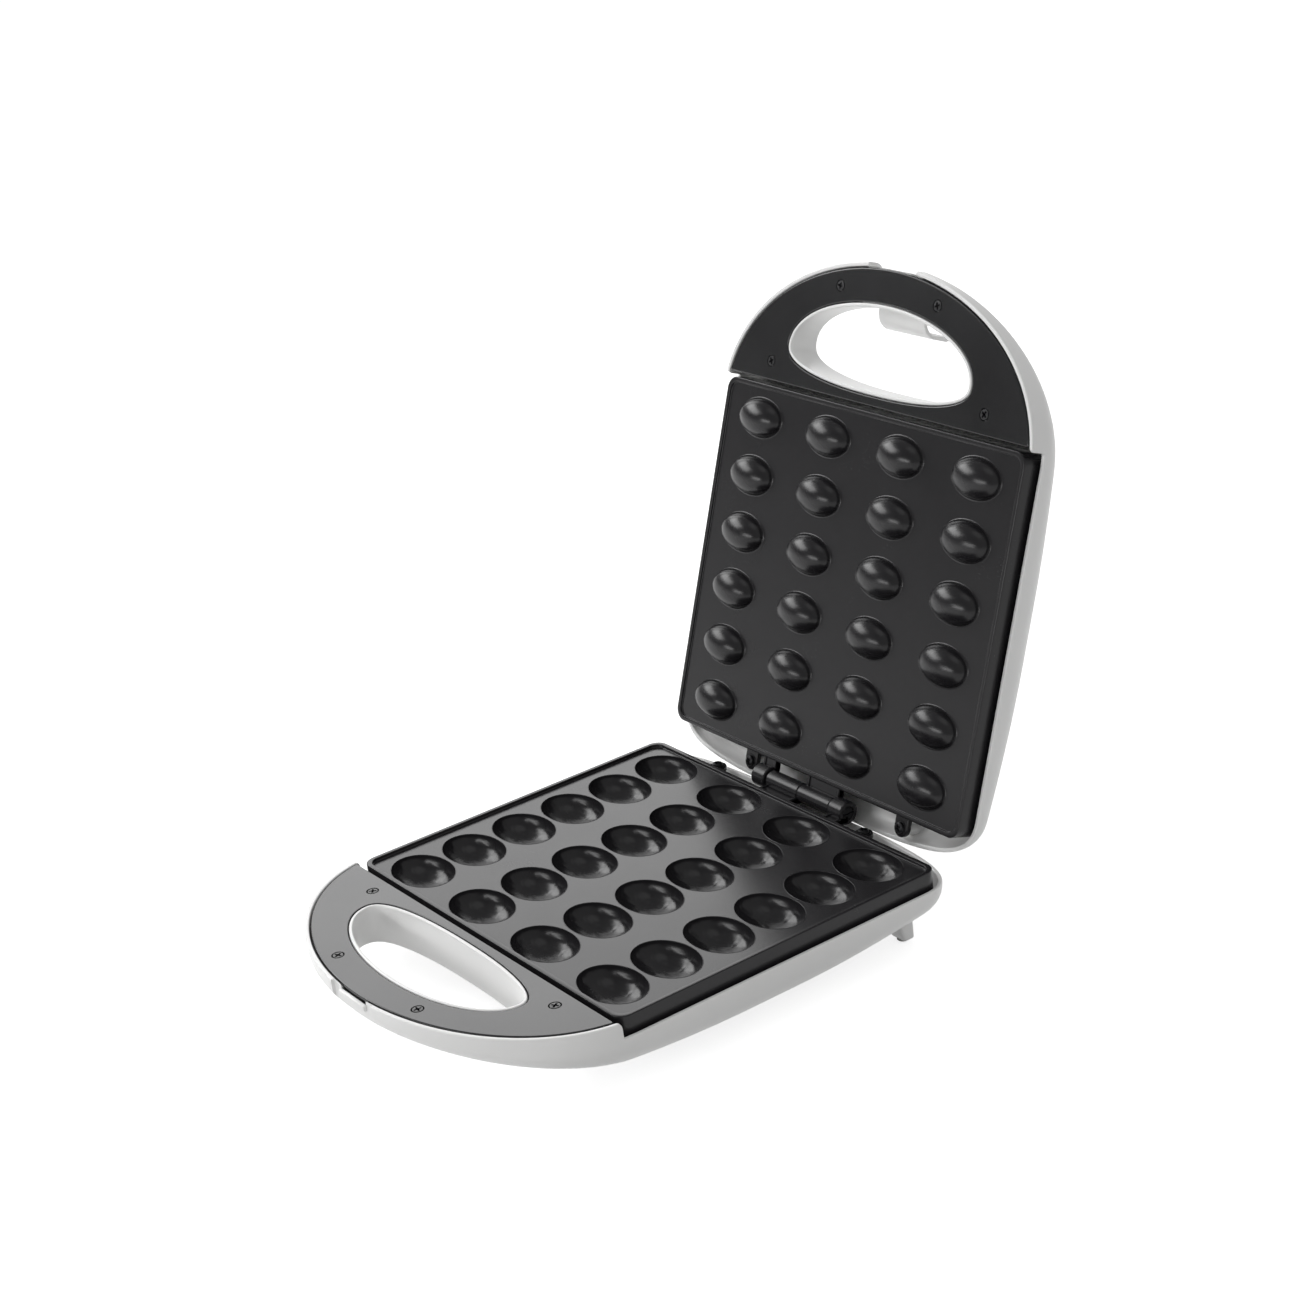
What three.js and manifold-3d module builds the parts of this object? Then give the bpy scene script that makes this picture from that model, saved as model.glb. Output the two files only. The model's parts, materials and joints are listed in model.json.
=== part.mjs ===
// Nut cookie maker: two hinged halves that bake 24 nut-shaped shells at once.
// Both halves are drawn in one half frame: the mating plane is z = 0, the half lies below it,
// the handle points to -Y and the hinge is at +Y. The lid is such a half turned over about Y
// and swung open about the hinge axis. All lengths are in millimetres, +Z is up.

import * as THREE from 'three';
import { mergeVertices } from 'three/addons/utils/BufferGeometryUtils.js';
import Module from 'manifold-3d';

const wasm = await Module();
wasm.setup();

// Baking pattern
const columns = 4;
const rows = 6;
const columnPitch = 57;
const rowPitch = 32;
const wellLength = 42;
const wellWidth = 30;
const wellDepth = 11;
const domeLength = 34;
const domeWidth = 20.4;
const domeRise = 7.5;
const domePocketDepth = 5;
const capRoot = 0.5;

// Cooking plates
const plateSideMargin = 31.7;
const plateEndMargin = 18.7;
const plateCornerRadius = 7;
const plateThickness = 2.5;
const lipWidth = 2.6;
const baseLipHeight = 1.8;
const lidLipHeight = 1.1;
const skirtHeight = 13.6;
const skirtWall = 2.6;
const lugWidth = 10;
const lugThickness = 3;
const lugDrop = 5;
const lugReach = 7;
const leftLugOffset = 72;
const rightLugOffset = 52;

// Hinge
const hingeSetback = 9.9;
const openAngle = THREE.MathUtils.degToRad(108.5);
const stopClearanceAngle = THREE.MathUtils.degToRad(1.5);
const hingePinRadius = 2;
const hingePinHeadRadius = 3.4;
const hingePinHeadHeight = 1.4;
const knuckleRadius = 5.2;
const knuckleLength = 26;
const earRadius = 6.3;
const earThickness = 10.3;
const earGap = 1;
const leafTopDrop = 1;
const leafThickness = 4.2;

// Shells
const baseShellDepth = 33;
const baseFrontDepth = 13;
const lidShellDepth = 30.8;
const lidFrontDepth = 12;
const shellWall = 2.3;
const plateShellGap = 1.7;
const rimDrop = 9.2;
const rimStepSetback = 1;
const rimStepRadius = 2.5;
const frontRiseRun = 155;
const rearDrop = 10;
const rearDropStart = 10;
const rearDropRun = 96;
const edgeRoundShare = 0.55;
const rearWallSetback = 7.7;
const rearCornerSetback = 3.7;
const rearCornerWidth = 31.2;
const rearCornerRun = 10.7;
const cornerSideHandle = 12;
const cornerRearHandle = 24.5;
const cornerRearDrop = 3.8;

// Handle
const handleArcSetback = 7.5;
const handleReach = 84.1;
const openingSetback = 24.4;
const openingHalfWidth = 71.8;
const handleFrontWidth = 21.1;
const openingRearRise = 16.2;
const openingRearPower = 2.35;
const openingWall = 2;
const trimThickness = 2.2;
const trimPlateGap = 2.8;
const channelRibWall = 2;
const frontScrewOffset = 37.6;
const rearScrewInset = 37.5;
const rearScrewSetback = 10.3;

// Latch and catch
const latchSlotHalfWidth = 18.5;
const latchSlotDepth = 2.7;
const latchBlockWall = 2.5;
const latchHalfWidth = 18;
const latchThickness = 2.2;
const latchBend = 10;
const latchWindowHalfWidth = 12.6;
const latchBarHeight = 3;
const latchBarrelRadius = 3.2;
const latchPinRadius = 1.5;
const latchPivotInset = 17.6;
const latchPivotDepth = 12;
const latchArmRise = 1.3;
const latchSwing = THREE.MathUtils.degToRad(180);
const catchHalfWidth = 12;
const catchReach = 1.9;
const catchHeight = 3.2;
const catchPlay = 1.6;

// Feet
const standHeight = 40;
const rearLegLength = 11;
const rearLegTopDepth = 11.5;
const rearLegFootDepth = 7;
const rearLegSideInset = 12.7;
const rearLegEndInset = 10.7;
const frontLegRadius = 6.5;
const frontLegX = 80;
const frontLegY = -62;
const legRootDepth = 20;
const padThickness = 1.2;
const frontPadRadius = 5.4;
const rearPadRadius = 3.2;
const padStemRadius = 2;
const padStemLength = 4;

// Fasteners
const screwHeadRadius = 3.1;
const screwHeadHeight = 1.7;
const screwShankRadius = 1.3;
const screwLength = 9;
const screwRecessWidth = 0.8;
const screwRecessLength = 3.4;
const screwRecessDepth = 1;
const bossRadius = 4;

// Heating and electrical parts
const elementRadius = 3;
const reflectorThickness = 0.8;
const reflectorGap = 1;
const reflectorSideMargin = 22;
const reflectorEndMargin = 20;
const reflectorPostRadius = 3;
const plateSeatLength = 12;
const plateSeatWidth = 5;
const terminalLength = 24;
const terminalDepth = 8;
const terminalHeight = 8.5;
const terminalHoleRadius = 1.6;
const terminalX = -16;
const fuseRadius = 2;
const fuseLength = 12;
const thermostatRadius = 8;
const thermostatHeight = 6;
const thermostatFlangeRadius = 9.5;
const thermostatFlangeHeight = 1.5;
const lampRadius = 3.2;
const lampFlangeRadius = 4.4;
const lampFlangeHeight = 1.2;
const lampProud = 0.8;
const lampBodyRadius = 2.8;
const lampBodyHeight = 8;
const lampOffset = 9;
const lampY = -82;
const glandX = -60;
const glandPadRadius = 6.5;
const glandRadius = 4.6;
const glandFlangeHeight = 1.5;
const glandNeckRadius = 3.4;
const glandBoreRadius = 2.4;
const glandDrop = 18.5;
const glandNeckLength = 6;

// Clearances
const matingGap = 0.4;
const trimRecess = 0.1;
const fit = 0.3;
const overrun = 1;

// Mesh fineness
const curveSteps = 5;
const sideStations = 4;
const outerEdgeSteps = 4;
const innerEdgeSteps = 3;
const roundSegments = 12;
const screwSegments = 8;
const openingSegments = 32;
const wellSegments = 12;
const pocketSegments = 8;
const weldDistance = 1e-4;

// Places worked out from the driving dimensions
const plateHalfWidth = (columns - 1) / 2 * columnPitch + plateSideMargin;
const plateHalfDepth = (rows - 1) / 2 * rowPitch + plateEndMargin;
const bodyHalfWidth = plateHalfWidth + plateShellGap + shellWall;
const hingeY = plateHalfDepth + hingeSetback;
const handleArcY = -plateHalfDepth + handleArcSetback;
const handleFrontY = handleArcY - handleReach;
const trimRearY = -plateHalfDepth - trimPlateGap;
const trimTop = matingGap + trimRecess;
const trimBottom = trimTop + trimThickness;
const openingY = -plateHalfDepth - openingSetback;
const openingFrontRise = openingY - handleFrontY - handleFrontWidth;
const rearMiddleY = hingeY + rearWallSetback;
const slotFloorY = handleFrontY + latchSlotDepth;

const finishes = {
  whiteShell: { color: 0xececea, roughness: 0.38, metalness: 0 },
  blackTrim: { color: 0x2b2b2d, roughness: 0.4, metalness: 0 },
  cookingPlate: { color: 0x303032, roughness: 0.45, metalness: 0.15 },
  blackScrew: { color: 0x1d1d1f, roughness: 0.5, metalness: 0.6 },
  steel: { color: 0xa9abad, roughness: 0.35, metalness: 1 },
  element: { color: 0x6d6a66, roughness: 0.55, metalness: 0.9 },
  reflector: { color: 0xc9cbcd, roughness: 0.3, metalness: 1 },
  rubber: { color: 0xb9b9b6, roughness: 0.85, metalness: 0 },
  darkRubber: { color: 0x242426, roughness: 0.8, metalness: 0 },
  terminal: { color: 0xe4dfd0, roughness: 0.5, metalness: 0 },
  lampRed: { color: 0xb3201c, roughness: 0.15, metalness: 0 },
  lampGreen: { color: 0x2d9a4a, roughness: 0.15, metalness: 0 },
};

const halves = {
  base: { depth: baseShellDepth, frontDepth: baseFrontDepth, lipHeight: baseLipHeight },
  lid: { depth: lidShellDepth, frontDepth: lidFrontDepth, lipHeight: lidLipHeight },
};

// Turns a closed three.js geometry into a solid for joining and cutting.
function solidOf(geometry) {
  const bare = geometry.clone();
  bare.deleteAttribute('normal');
  bare.deleteAttribute('uv');
  const welded = mergeVertices(bare, weldDistance);
  const corners = welded.index.array;
  const kept = [];
  for (let i = 0; i < corners.length; i += 3) {
    const [a, b, c] = [corners[i], corners[i + 1], corners[i + 2]];
    if (a !== b && b !== c && c !== a) kept.push(a, b, c);
  }
  return new wasm.Manifold(new wasm.Mesh({
    numProp: 3,
    vertProperties: new Float32Array(welded.attributes.position.array),
    triVerts: new Uint32Array(kept),
  }));
}

function geometryOf(solid) {
  const mesh = solid.getMesh();
  const geometry = new THREE.BufferGeometry();
  geometry.setAttribute('position', new THREE.BufferAttribute(mesh.vertProperties, 3));
  geometry.setIndex(new THREE.BufferAttribute(mesh.triVerts, 1));
  geometry.computeVertexNormals();
  return geometry;
}

function joined(solids) {
  return solids.reduce((all, solid) => all.add(solid));
}

function cut(solid, tools) {
  return tools.reduce((rest, tool) => rest.subtract(tool), solid);
}

// A box from its lowest and highest corners.
function block(low, high) {
  const [width, depth, height] = high.map((value, i) => value - low[i]);
  const geometry = new THREE.BoxGeometry(width, depth, height);
  geometry.translate(low[0] + width / 2, low[1] + depth / 2, low[2] + height / 2);
  return solidOf(geometry);
}

// A flat shape in X and Y, raised from zLow to zHigh.
function prism(shape, zLow, zHigh) {
  const options = { depth: zHigh - zLow, bevelEnabled: false, curveSegments: curveSteps };
  const geometry = new THREE.ExtrudeGeometry(shape, options);
  geometry.translate(0, 0, zLow);
  return solidOf(geometry);
}

// A flat shape in Y and Z, drawn out along X.
function prismAlongX(shape, xLow, xHigh) {
  const options = { depth: xHigh - xLow, bevelEnabled: false, curveSegments: curveSteps };
  const geometry = new THREE.ExtrudeGeometry(shape, options);
  geometry.translate(0, 0, xLow);
  const turn = new THREE.Matrix4().makeBasis(
    new THREE.Vector3(0, 1, 0), new THREE.Vector3(0, 0, 1), new THREE.Vector3(1, 0, 0));
  geometry.applyMatrix4(turn);
  return solidOf(geometry);
}

function polygon(points) {
  return new THREE.Shape(points.map(([a, b]) => new THREE.Vector2(a, b)));
}

function rodAlongX(radius, xLow, xHigh, y, z) {
  const geometry = new THREE.CylinderGeometry(radius, radius, xHigh - xLow, roundSegments);
  geometry.rotateZ(Math.PI / 2);
  geometry.translate((xLow + xHigh) / 2, y, z);
  return solidOf(geometry);
}

function rodAlongY(radius, yLow, yHigh, x, z) {
  const geometry = new THREE.CylinderGeometry(radius, radius, yHigh - yLow, roundSegments);
  geometry.translate(x, (yLow + yHigh) / 2, z);
  return solidOf(geometry);
}

function rodAlongZ(radius, zLow, zHigh, x, y) {
  const geometry = new THREE.CylinderGeometry(radius, radius, zHigh - zLow, roundSegments);
  geometry.rotateX(Math.PI / 2);
  geometry.translate(x, y, (zLow + zHigh) / 2);
  return solidOf(geometry);
}

// A turned body about Z from (radius, z) points, which run upwards on the outside.
function turned(points, segments, x = 0, y = 0, z = 0) {
  const profile = points.map(([radius, height]) => new THREE.Vector2(radius, height));
  const geometry = new THREE.LatheGeometry(profile, segments);
  geometry.rotateX(Math.PI / 2);
  geometry.translate(x, y, z);
  return solidOf(geometry);
}

function roundedRectangle(halfWidth, halfDepth, radius, centreY = 0) {
  const shape = new THREE.Shape();
  const [x, low, high] = [halfWidth - radius, centreY - halfDepth + radius, centreY + halfDepth - radius];
  shape.absarc(x, low, radius, -Math.PI / 2, 0, false);
  shape.absarc(x, high, radius, 0, Math.PI / 2, false);
  shape.absarc(-x, high, radius, Math.PI / 2, Math.PI, false);
  shape.absarc(-x, low, radius, Math.PI, Math.PI * 3 / 2, false);
  return shape;
}

// The plan outline of a half, from the handle's tip round by +X to the rear and back by -X.
// Each point carries its inward normal, so that the outline can be drawn in by any amount.
function bodyOutline() {
  const sideEndY = plateHalfDepth - rearCornerRun;
  const rearCornerX = bodyHalfWidth - rearCornerWidth;
  const rearCornerY = hingeY + rearCornerSetback;
  const rearRise = rearMiddleY - rearCornerY;
  const rearRun = rearRise * cornerRearHandle / cornerRearDrop;
  const path = new THREE.Path();
  path.moveTo(0, handleFrontY);
  path.absellipse(0, handleArcY, bodyHalfWidth, handleReach, -Math.PI / 2, 0, false);
  for (let i = 1; i <= sideStations; i += 1) {
    path.lineTo(bodyHalfWidth, THREE.MathUtils.lerp(handleArcY, sideEndY, i / sideStations));
  }
  path.bezierCurveTo(
    bodyHalfWidth, sideEndY + cornerSideHandle,
    rearCornerX + cornerRearHandle, rearCornerY - cornerRearDrop,
    rearCornerX, rearCornerY);
  path.quadraticCurveTo(rearCornerX - rearRun, rearMiddleY, 0, rearMiddleY);
  const right = path.getPoints(curveSteps);
  const left = right.slice(1, -1).reverse().map((p) => new THREE.Vector2(-p.x, p.y));
  const points = [...right, ...left];
  return points.map((point, i) => {
    const before = points[(i + points.length - 1) % points.length];
    const after = points[(i + 1) % points.length];
    const along = point.clone().sub(before).normalize().add(after.clone().sub(point).normalize());
    return { point, normal: new THREE.Vector2(-along.y, along.x).normalize() };
  });
}

const outline = bodyOutline();

function insetPoint({ point, normal }, inset) {
  return point.clone().addScaledVector(normal, inset);
}

function outlinePrism(inset, zLow, zHigh) {
  return prism(new THREE.Shape(outline.map((place) => insetPoint(place, inset))), zLow, zHigh);
}

// How deep a half's shell is below the mating plane at a place along Y.
function depthAt(half, y) {
  const rise = THREE.MathUtils.clamp((y - handleFrontY) / frontRiseRun, 0, 1);
  const fall = Math.max((y - rearDropStart) / rearDropRun, 0);
  const front = half.frontDepth + (half.depth - half.frontDepth) * Math.sin(rise * Math.PI / 2);
  return front - rearDrop * (1 - Math.cos(fall * Math.PI / 2));
}

// A bowl with the body's outline, whose side walls curve into its floor.
function bowl(half, inset, topZ, edgeSteps) {
  const rings = [outline.map((place) => {
    const p = insetPoint(place, inset);
    return [p.x, p.y, topZ];
  })];
  for (let step = 0; step <= edgeSteps; step += 1) {
    const angle = step / edgeSteps * Math.PI / 2;
    rings.push(outline.map((place) => {
      const depth = depthAt(half, place.point.y);
      const round = depth * edgeRoundShare;
      const p = insetPoint(place, inset + (round - inset) * (1 - Math.cos(angle)));
      return [p.x, p.y, round - depth - (round - inset) * Math.sin(angle)];
    }));
  }
  const count = outline.length;
  const triangles = [];
  for (let ring = 0; ring + 1 < rings.length; ring += 1) {
    for (let i = 0; i < count; i += 1) {
      const next = (i + 1) % count;
      const [a, b] = [ring * count + i, ring * count + next];
      const [c, d] = [(ring + 1) * count + i, (ring + 1) * count + next];
      triangles.push(a, d, b, a, c, d);
    }
  }
  const last = (rings.length - 1) * count;
  triangles.push(...ladder(count, 0, false), ...ladder(count, last, true));
  const geometry = new THREE.BufferGeometry();
  geometry.setAttribute('position', new THREE.Float32BufferAttribute(rings.flat(2), 3));
  geometry.setIndex(triangles);
  return solidOf(geometry);
}

// Closes a ring that is the same on both sides of X = 0 with rungs from side to side.
function ladder(count, start, facingDown) {
  const triangles = [];
  for (let i = 0; i < count / 2; i += 1) {
    const [right, rightNext] = [start + i, start + i + 1];
    const [left, leftNext] = [start + (count - i) % count, start + count - i - 1];
    if (i > 0) triangles.push([right, rightNext, left]);
    if (i + 1 < count / 2) triangles.push([rightNext, leftNext, left]);
  }
  return triangles.flatMap(([a, b, c]) => (facingDown ? [a, c, b] : [a, b, c]));
}

// The handle's finger opening, grown outwards by a wall or a clearance.
function openingShape(growth) {
  const halfWidth = openingHalfWidth - openingWall - fit + growth;
  const frontRise = openingFrontRise - openingWall - fit + growth;
  const rearRise = openingRearRise - openingWall - fit + growth;
  const points = [];
  for (let i = 0; i < openingSegments; i += 1) {
    const angle = i / openingSegments * Math.PI * 2;
    const [across, along] = [Math.cos(angle), Math.sin(angle)];
    const power = along > 0 ? 2 / openingRearPower : 1;
    const x = halfWidth * Math.sign(across) * Math.abs(across) ** power;
    const y = (along > 0 ? rearRise : frontRise) * Math.sign(along) * Math.abs(along) ** power;
    points.push([x, openingY + y]);
  }
  return polygon(points);
}

function wellCentres() {
  const centres = [];
  for (let row = 0; row < rows; row += 1) {
    for (let column = 0; column < columns; column += 1) {
      centres.push([(column - (columns - 1) / 2) * columnPitch, (row - (rows - 1) / 2) * rowPitch]);
    }
  }
  return centres;
}

// Places of the four screws that hold a handle trim.
function trimScrewPlaces() {
  const trimHalfWidth = bodyHalfWidth - shellWall;
  const outerY = handleArcY
    - (handleReach - shellWall) * Math.sqrt(1 - (frontScrewOffset / trimHalfWidth) ** 2);
  const innerY = openingY
    - openingFrontRise * Math.sqrt(1 - (frontScrewOffset / openingHalfWidth) ** 2);
  const frontY = (outerY + innerY) / 2;
  const rearX = bodyHalfWidth - rearScrewInset;
  const rearY = trimRearY - rearScrewSetback;
  return [
    { end: 'front', x: -frontScrewOffset, y: frontY },
    { end: 'front', x: frontScrewOffset, y: frontY },
    { end: 'rear', x: -rearX, y: rearY },
    { end: 'rear', x: rearX, y: rearY },
  ];
}

function lugPlaces() {
  const y = plateHalfDepth + lugReach;
  return [{ x: -leftLugOffset, y }, { x: rightLugOffset, y }];
}

function surfaceZ(half) {
  return -matingGap - half.lipHeight;
}

function undersideZ(half) {
  return surfaceZ(half) - plateThickness;
}

const skirtBottomZ = -matingGap - skirtHeight;
const lugTopZ = -lugDrop;
const lugBottomZ = lugTopZ - lugThickness;

// The lowest the cooking surface reaches: the wells' bulges on the base, the plate on the lid.
function heatedBottomZ(half) {
  return half === halves.base ? surfaceZ(half) - wellDepth - plateThickness : undersideZ(half);
}

function elementZ(half) {
  return heatedBottomZ(half) - fit - elementRadius;
}

function reflectorTopZ(half) {
  return elementZ(half) - elementRadius - reflectorGap;
}

// A half ellipsoid on a short oval root, pointing down when its height is negative.
function ovalCap(length, width, height, segments, levels) {
  const profile = [[0, -capRoot / Math.abs(height)], [1, -capRoot / Math.abs(height)]];
  for (let i = 0; i <= levels; i += 1) {
    const angle = i / levels * Math.PI / 2;
    profile.push([Math.cos(angle), Math.sin(angle)]);
  }
  const geometry = new THREE.LatheGeometry(profile.map(([r, h]) => new THREE.Vector2(r, h)), segments);
  geometry.rotateX(Math.PI / 2);
  geometry.applyMatrix4(new THREE.Matrix4().makeScale(length / 2, width / 2, Math.abs(height)));
  if (height < 0) geometry.rotateX(Math.PI);
  return solidOf(geometry);
}

// The cast plate shared by both halves: lip, skirt, screw lugs, hinge barrel and hinge ear.
function plateBody(half) {
  const inner = lipWidth;
  const body = prism(roundedRectangle(plateHalfWidth, plateHalfDepth, plateCornerRadius),
    skirtBottomZ, -matingGap);
  const tray = prism(
    roundedRectangle(plateHalfWidth - inner, plateHalfDepth - inner, plateCornerRadius - inner / 2),
    surfaceZ(half), overrun);
  const pocket = prism(
    roundedRectangle(plateHalfWidth - skirtWall, plateHalfDepth - skirtWall,
      plateCornerRadius - skirtWall / 2),
    skirtBottomZ - overrun, undersideZ(half));
  const root = plateHalfDepth - skirtWall / 2;
  const lugs = lugPlaces().flatMap(({ x, y }) => [
    block([x - lugWidth / 2, root, lugBottomZ], [x + lugWidth / 2, y, lugTopZ]),
    rodAlongZ(lugWidth / 2, lugBottomZ, lugTopZ, x, y),
  ]);
  const seam = fit / 2;
  const earStart = knuckleLength + earGap;
  const leafTop = -leafTopDrop;
  const leafBottom = leafTop - leafThickness;
  const barrel = [
    rodAlongX(knuckleRadius, -knuckleLength, -seam, hingeY, 0),
    block([-knuckleLength, root, leafBottom], [-seam, hingeY, leafTop]),
  ];
  const ear = [
    rodAlongX(earRadius, earStart, earStart + earThickness, hingeY, 0),
    block([earStart, root, leafBottom], [earStart + earThickness, hingeY, leafTop]),
  ];
  const pinHole = rodAlongX(hingePinRadius + fit, -knuckleLength - overrun,
    earStart + earThickness + overrun, hingeY, 0);
  const headSeat = rodAlongX(hingePinHeadRadius + fit,
    earStart + earThickness - hingePinHeadHeight - fit, earStart + earThickness + overrun, hingeY, 0);
  const lugHoles = lugPlaces().map(({ x, y }) => (
    rodAlongZ(screwShankRadius + fit, lugBottomZ - overrun, lugTopZ + overrun, x, y)));
  return cut(joined([cut(body, [tray, pocket]), ...lugs, ...barrel, ...ear]),
    [pinHole, headSeat, ...lugHoles]);
}

// The base's plate: each well is an oval bowl, and bulges below the plate.
function basePlate() {
  const half = halves.base;
  const outerLength = wellLength + plateThickness * 2;
  const outerWidth = Math.min(wellWidth + plateThickness * 2, rowPitch - fit);
  const bulgeZ = surfaceZ(half) - plateThickness / 2;
  const bulge = ovalCap(outerLength, outerWidth, -(wellDepth + plateThickness / 2), wellSegments, 2);
  const well = ovalCap(wellLength, wellWidth, -wellDepth, wellSegments, 2);
  const centres = wellCentres();
  const bulges = centres.map(([x, y]) => bulge.translate([x, y, bulgeZ]));
  const wells = centres.map(([x, y]) => well.translate([x, y, surfaceZ(half)]));
  return cut(joined([plateBody(half), ...bulges]), wells);
}

// The lid's plate: each dome presses the hollow of one nut shell, and is hollow behind.
function lidPlate() {
  const half = halves.lid;
  const dome = ovalCap(domeLength, domeWidth, domeRise, wellSegments, 2);
  const pocket = ovalCap(domeLength - plateThickness * 2, domeWidth - plateThickness * 2,
    domePocketDepth, pocketSegments, 1);
  const centres = wellCentres();
  const domes = centres.map(([x, y]) => dome.translate([x, y, surfaceZ(half)]));
  const pockets = centres.map(([x, y]) => pocket.translate([x, y, undersideZ(half)]));
  return cut(joined([plateBody(half), ...domes]), pockets);
}

// The rim is high round the handle and steps down along the plate.
function rimCutter() {
  const rear = rearMiddleY + overrun;
  const stepY = -plateHalfDepth - rimStepSetback;
  const shape = new THREE.Shape();
  shape.moveTo(rear, overrun);
  shape.lineTo(stepY - rimStepRadius, overrun);
  shape.lineTo(stepY - rimStepRadius, -matingGap);
  shape.absarc(stepY - rimStepRadius, -matingGap - rimStepRadius, rimStepRadius, Math.PI / 2, 0, true);
  shape.lineTo(stepY, -rimDrop);
  shape.lineTo(rear, -rimDrop);
  return prismAlongX(shape, -bodyHalfWidth - overrun, bodyHalfWidth + overrun);
}

// The rear rim is bevelled through the hinge axis, so that the two halves meet face to face
// just beyond the fully open position.
function stopBevel() {
  const reach = rearWallSetback + overrun;
  const angle = openAngle / 2 + stopClearanceAngle;
  const shape = polygon([[hingeY, 0], [hingeY + reach, -reach * Math.tan(angle)],
    [hingeY + reach, reach], [hingeY, reach]]);
  return prismAlongX(shape, -bodyHalfWidth - overrun, bodyHalfWidth + overrun);
}

// Solid places left standing inside the hollow shell: walls, ribs, bosses and seats.
function shellIslands(half) {
  const floor = -half.depth - overrun;
  const underTrim = -trimBottom - fit;
  const islands = [
    prism(openingShape(openingWall), floor, -matingGap),
    block([-bodyHalfWidth, trimRearY - channelRibWall, floor], [bodyHalfWidth, trimRearY, underTrim]),
    block([-latchSlotHalfWidth - latchBlockWall, handleFrontY, floor],
      [latchSlotHalfWidth + latchBlockWall, slotFloorY + latchBlockWall, underTrim]),
    ...trimScrewPlaces().map(({ x, y }) => rodAlongZ(bossRadius, floor, underTrim, x, y)),
    ...lugPlaces().map(({ x, y }) => rodAlongZ(bossRadius, floor, lugBottomZ - fit, x, y)),
  ];
  const seatY = (rows - 1) / 4 * rowPitch;
  const seatTop = skirtBottomZ - fit;
  const seatX = plateHalfWidth - plateSeatWidth;
  const postTop = reflectorTopZ(half) - reflectorThickness - fit;
  for (const side of [-1, 1]) {
    for (const end of [-1, 1]) {
      const xs = [side * seatX, side * bodyHalfWidth].sort((a, b) => a - b);
      const y = end * seatY;
      const ys = [y - plateSeatLength / 2, y + plateSeatLength / 2];
      islands.push(block([xs[0], ys[0], floor], [xs[1], ys[1], seatTop]));
      islands.push(rodAlongZ(reflectorPostRadius, floor, postTop, side * columnPitch, y));
    }
  }
  return islands;
}

function screwHoles(half) {
  const places = [
    ...trimScrewPlaces().map(({ x, y }) => [x, y, -trimTop]),
    ...lugPlaces().map(({ x, y }) => [x, y, lugTopZ]),
  ];
  return places.map(([x, y, top]) => (
    rodAlongZ(screwShankRadius + fit, top - screwLength - overrun, overrun, x, y)));
}

// The slot at the handle's tip, which the latch passes through.
function latchSlot(half) {
  return block([-latchSlotHalfWidth, handleFrontY - overrun, -half.frontDepth - overrun],
    [latchSlotHalfWidth, slotFloorY, overrun]);
}

function shell(half, additions, extraIslands) {
  const hollow = cut(bowl(half, shellWall, overrun, innerEdgeSteps),
    [...shellIslands(half), ...extraIslands]);
  const opening = prism(openingShape(0), -half.depth - overrun, overrun);
  const body = joined([bowl(half, 0, -matingGap, outerEdgeSteps), ...additions]);
  return cut(body, [hollow, opening, rimCutter(), stopBevel(), latchSlot(half), ...screwHoles(half)]);
}

const legBottomZ = -standHeight + padThickness + fit;
const rearLegX = bodyHalfWidth - rearLegSideInset - rearLegLength / 2;
const rearLegEndY = plateHalfDepth - rearLegEndInset;
const rearFootY = rearLegEndY - rearLegFootDepth / 2;

function footPlaces() {
  return [
    { name: 'front_left', x: -frontLegX, y: frontLegY, radius: frontPadRadius },
    { name: 'front_right', x: frontLegX, y: frontLegY, radius: frontPadRadius },
    { name: 'rear_left', x: -rearLegX, y: rearFootY, radius: rearPadRadius },
    { name: 'rear_right', x: rearLegX, y: rearFootY, radius: rearPadRadius },
  ];
}

function legs() {
  const side = polygon([
    [rearLegEndY - rearLegTopDepth, -legRootDepth], [rearLegEndY - rearLegFootDepth, legBottomZ],
    [rearLegEndY, legBottomZ], [rearLegEndY, -legRootDepth]]);
  const halfLength = rearLegLength / 2;
  return [-1, 1].flatMap((sign) => [
    prismAlongX(side, sign * rearLegX - halfLength, sign * rearLegX + halfLength),
    rodAlongZ(frontLegRadius, legBottomZ, -legRootDepth, sign * frontLegX, frontLegY),
  ]);
}

const terminalFloorZ = lugBottomZ - knuckleRadius - terminalHeight / 2;
const terminalY = hingeY - terminalDepth / 2;

// The base's shell stands on four legs, and carries the catch and the cord's gland.
function baseShell() {
  const half = halves.base;
  const catchTopZ = -trimBottom - fit;
  const catchBar = block([-catchHalfWidth, slotFloorY - catchReach, catchTopZ - catchHeight],
    [catchHalfWidth, slotFloorY + latchBlockWall, catchTopZ]);
  const padFaceY = rearMiddleY;
  const glandPad = rodAlongY(glandPadRadius, padFaceY - glandNeckLength, padFaceY, glandX, -glandDrop);
  const terminalSeat = block(
    [terminalX - terminalLength / 2, terminalY - terminalDepth / 2, -half.depth],
    [terminalX + terminalLength / 2, terminalY + terminalDepth / 2, terminalFloorZ - fit]);
  const body = shell(half, [...legs(), glandPad], [glandPad, terminalSeat]);
  const sockets = footPlaces().map(({ x, y }) => (
    rodAlongZ(padStemRadius + fit, legBottomZ - overrun, legBottomZ + padStemLength + fit, x, y)));
  const glandHole = rodAlongY(glandNeckRadius + fit, padFaceY - glandNeckLength - overrun * 2,
    padFaceY + overrun, glandX, -glandDrop);
  return cut(body, [...sockets, glandHole]).add(catchBar);
}

const latchPivotY = handleFrontY + latchPivotInset;
const latchPivotZ = -latchPivotDepth;
const latchPinEnd = latchSlotHalfWidth + latchBlockWall;

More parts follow.
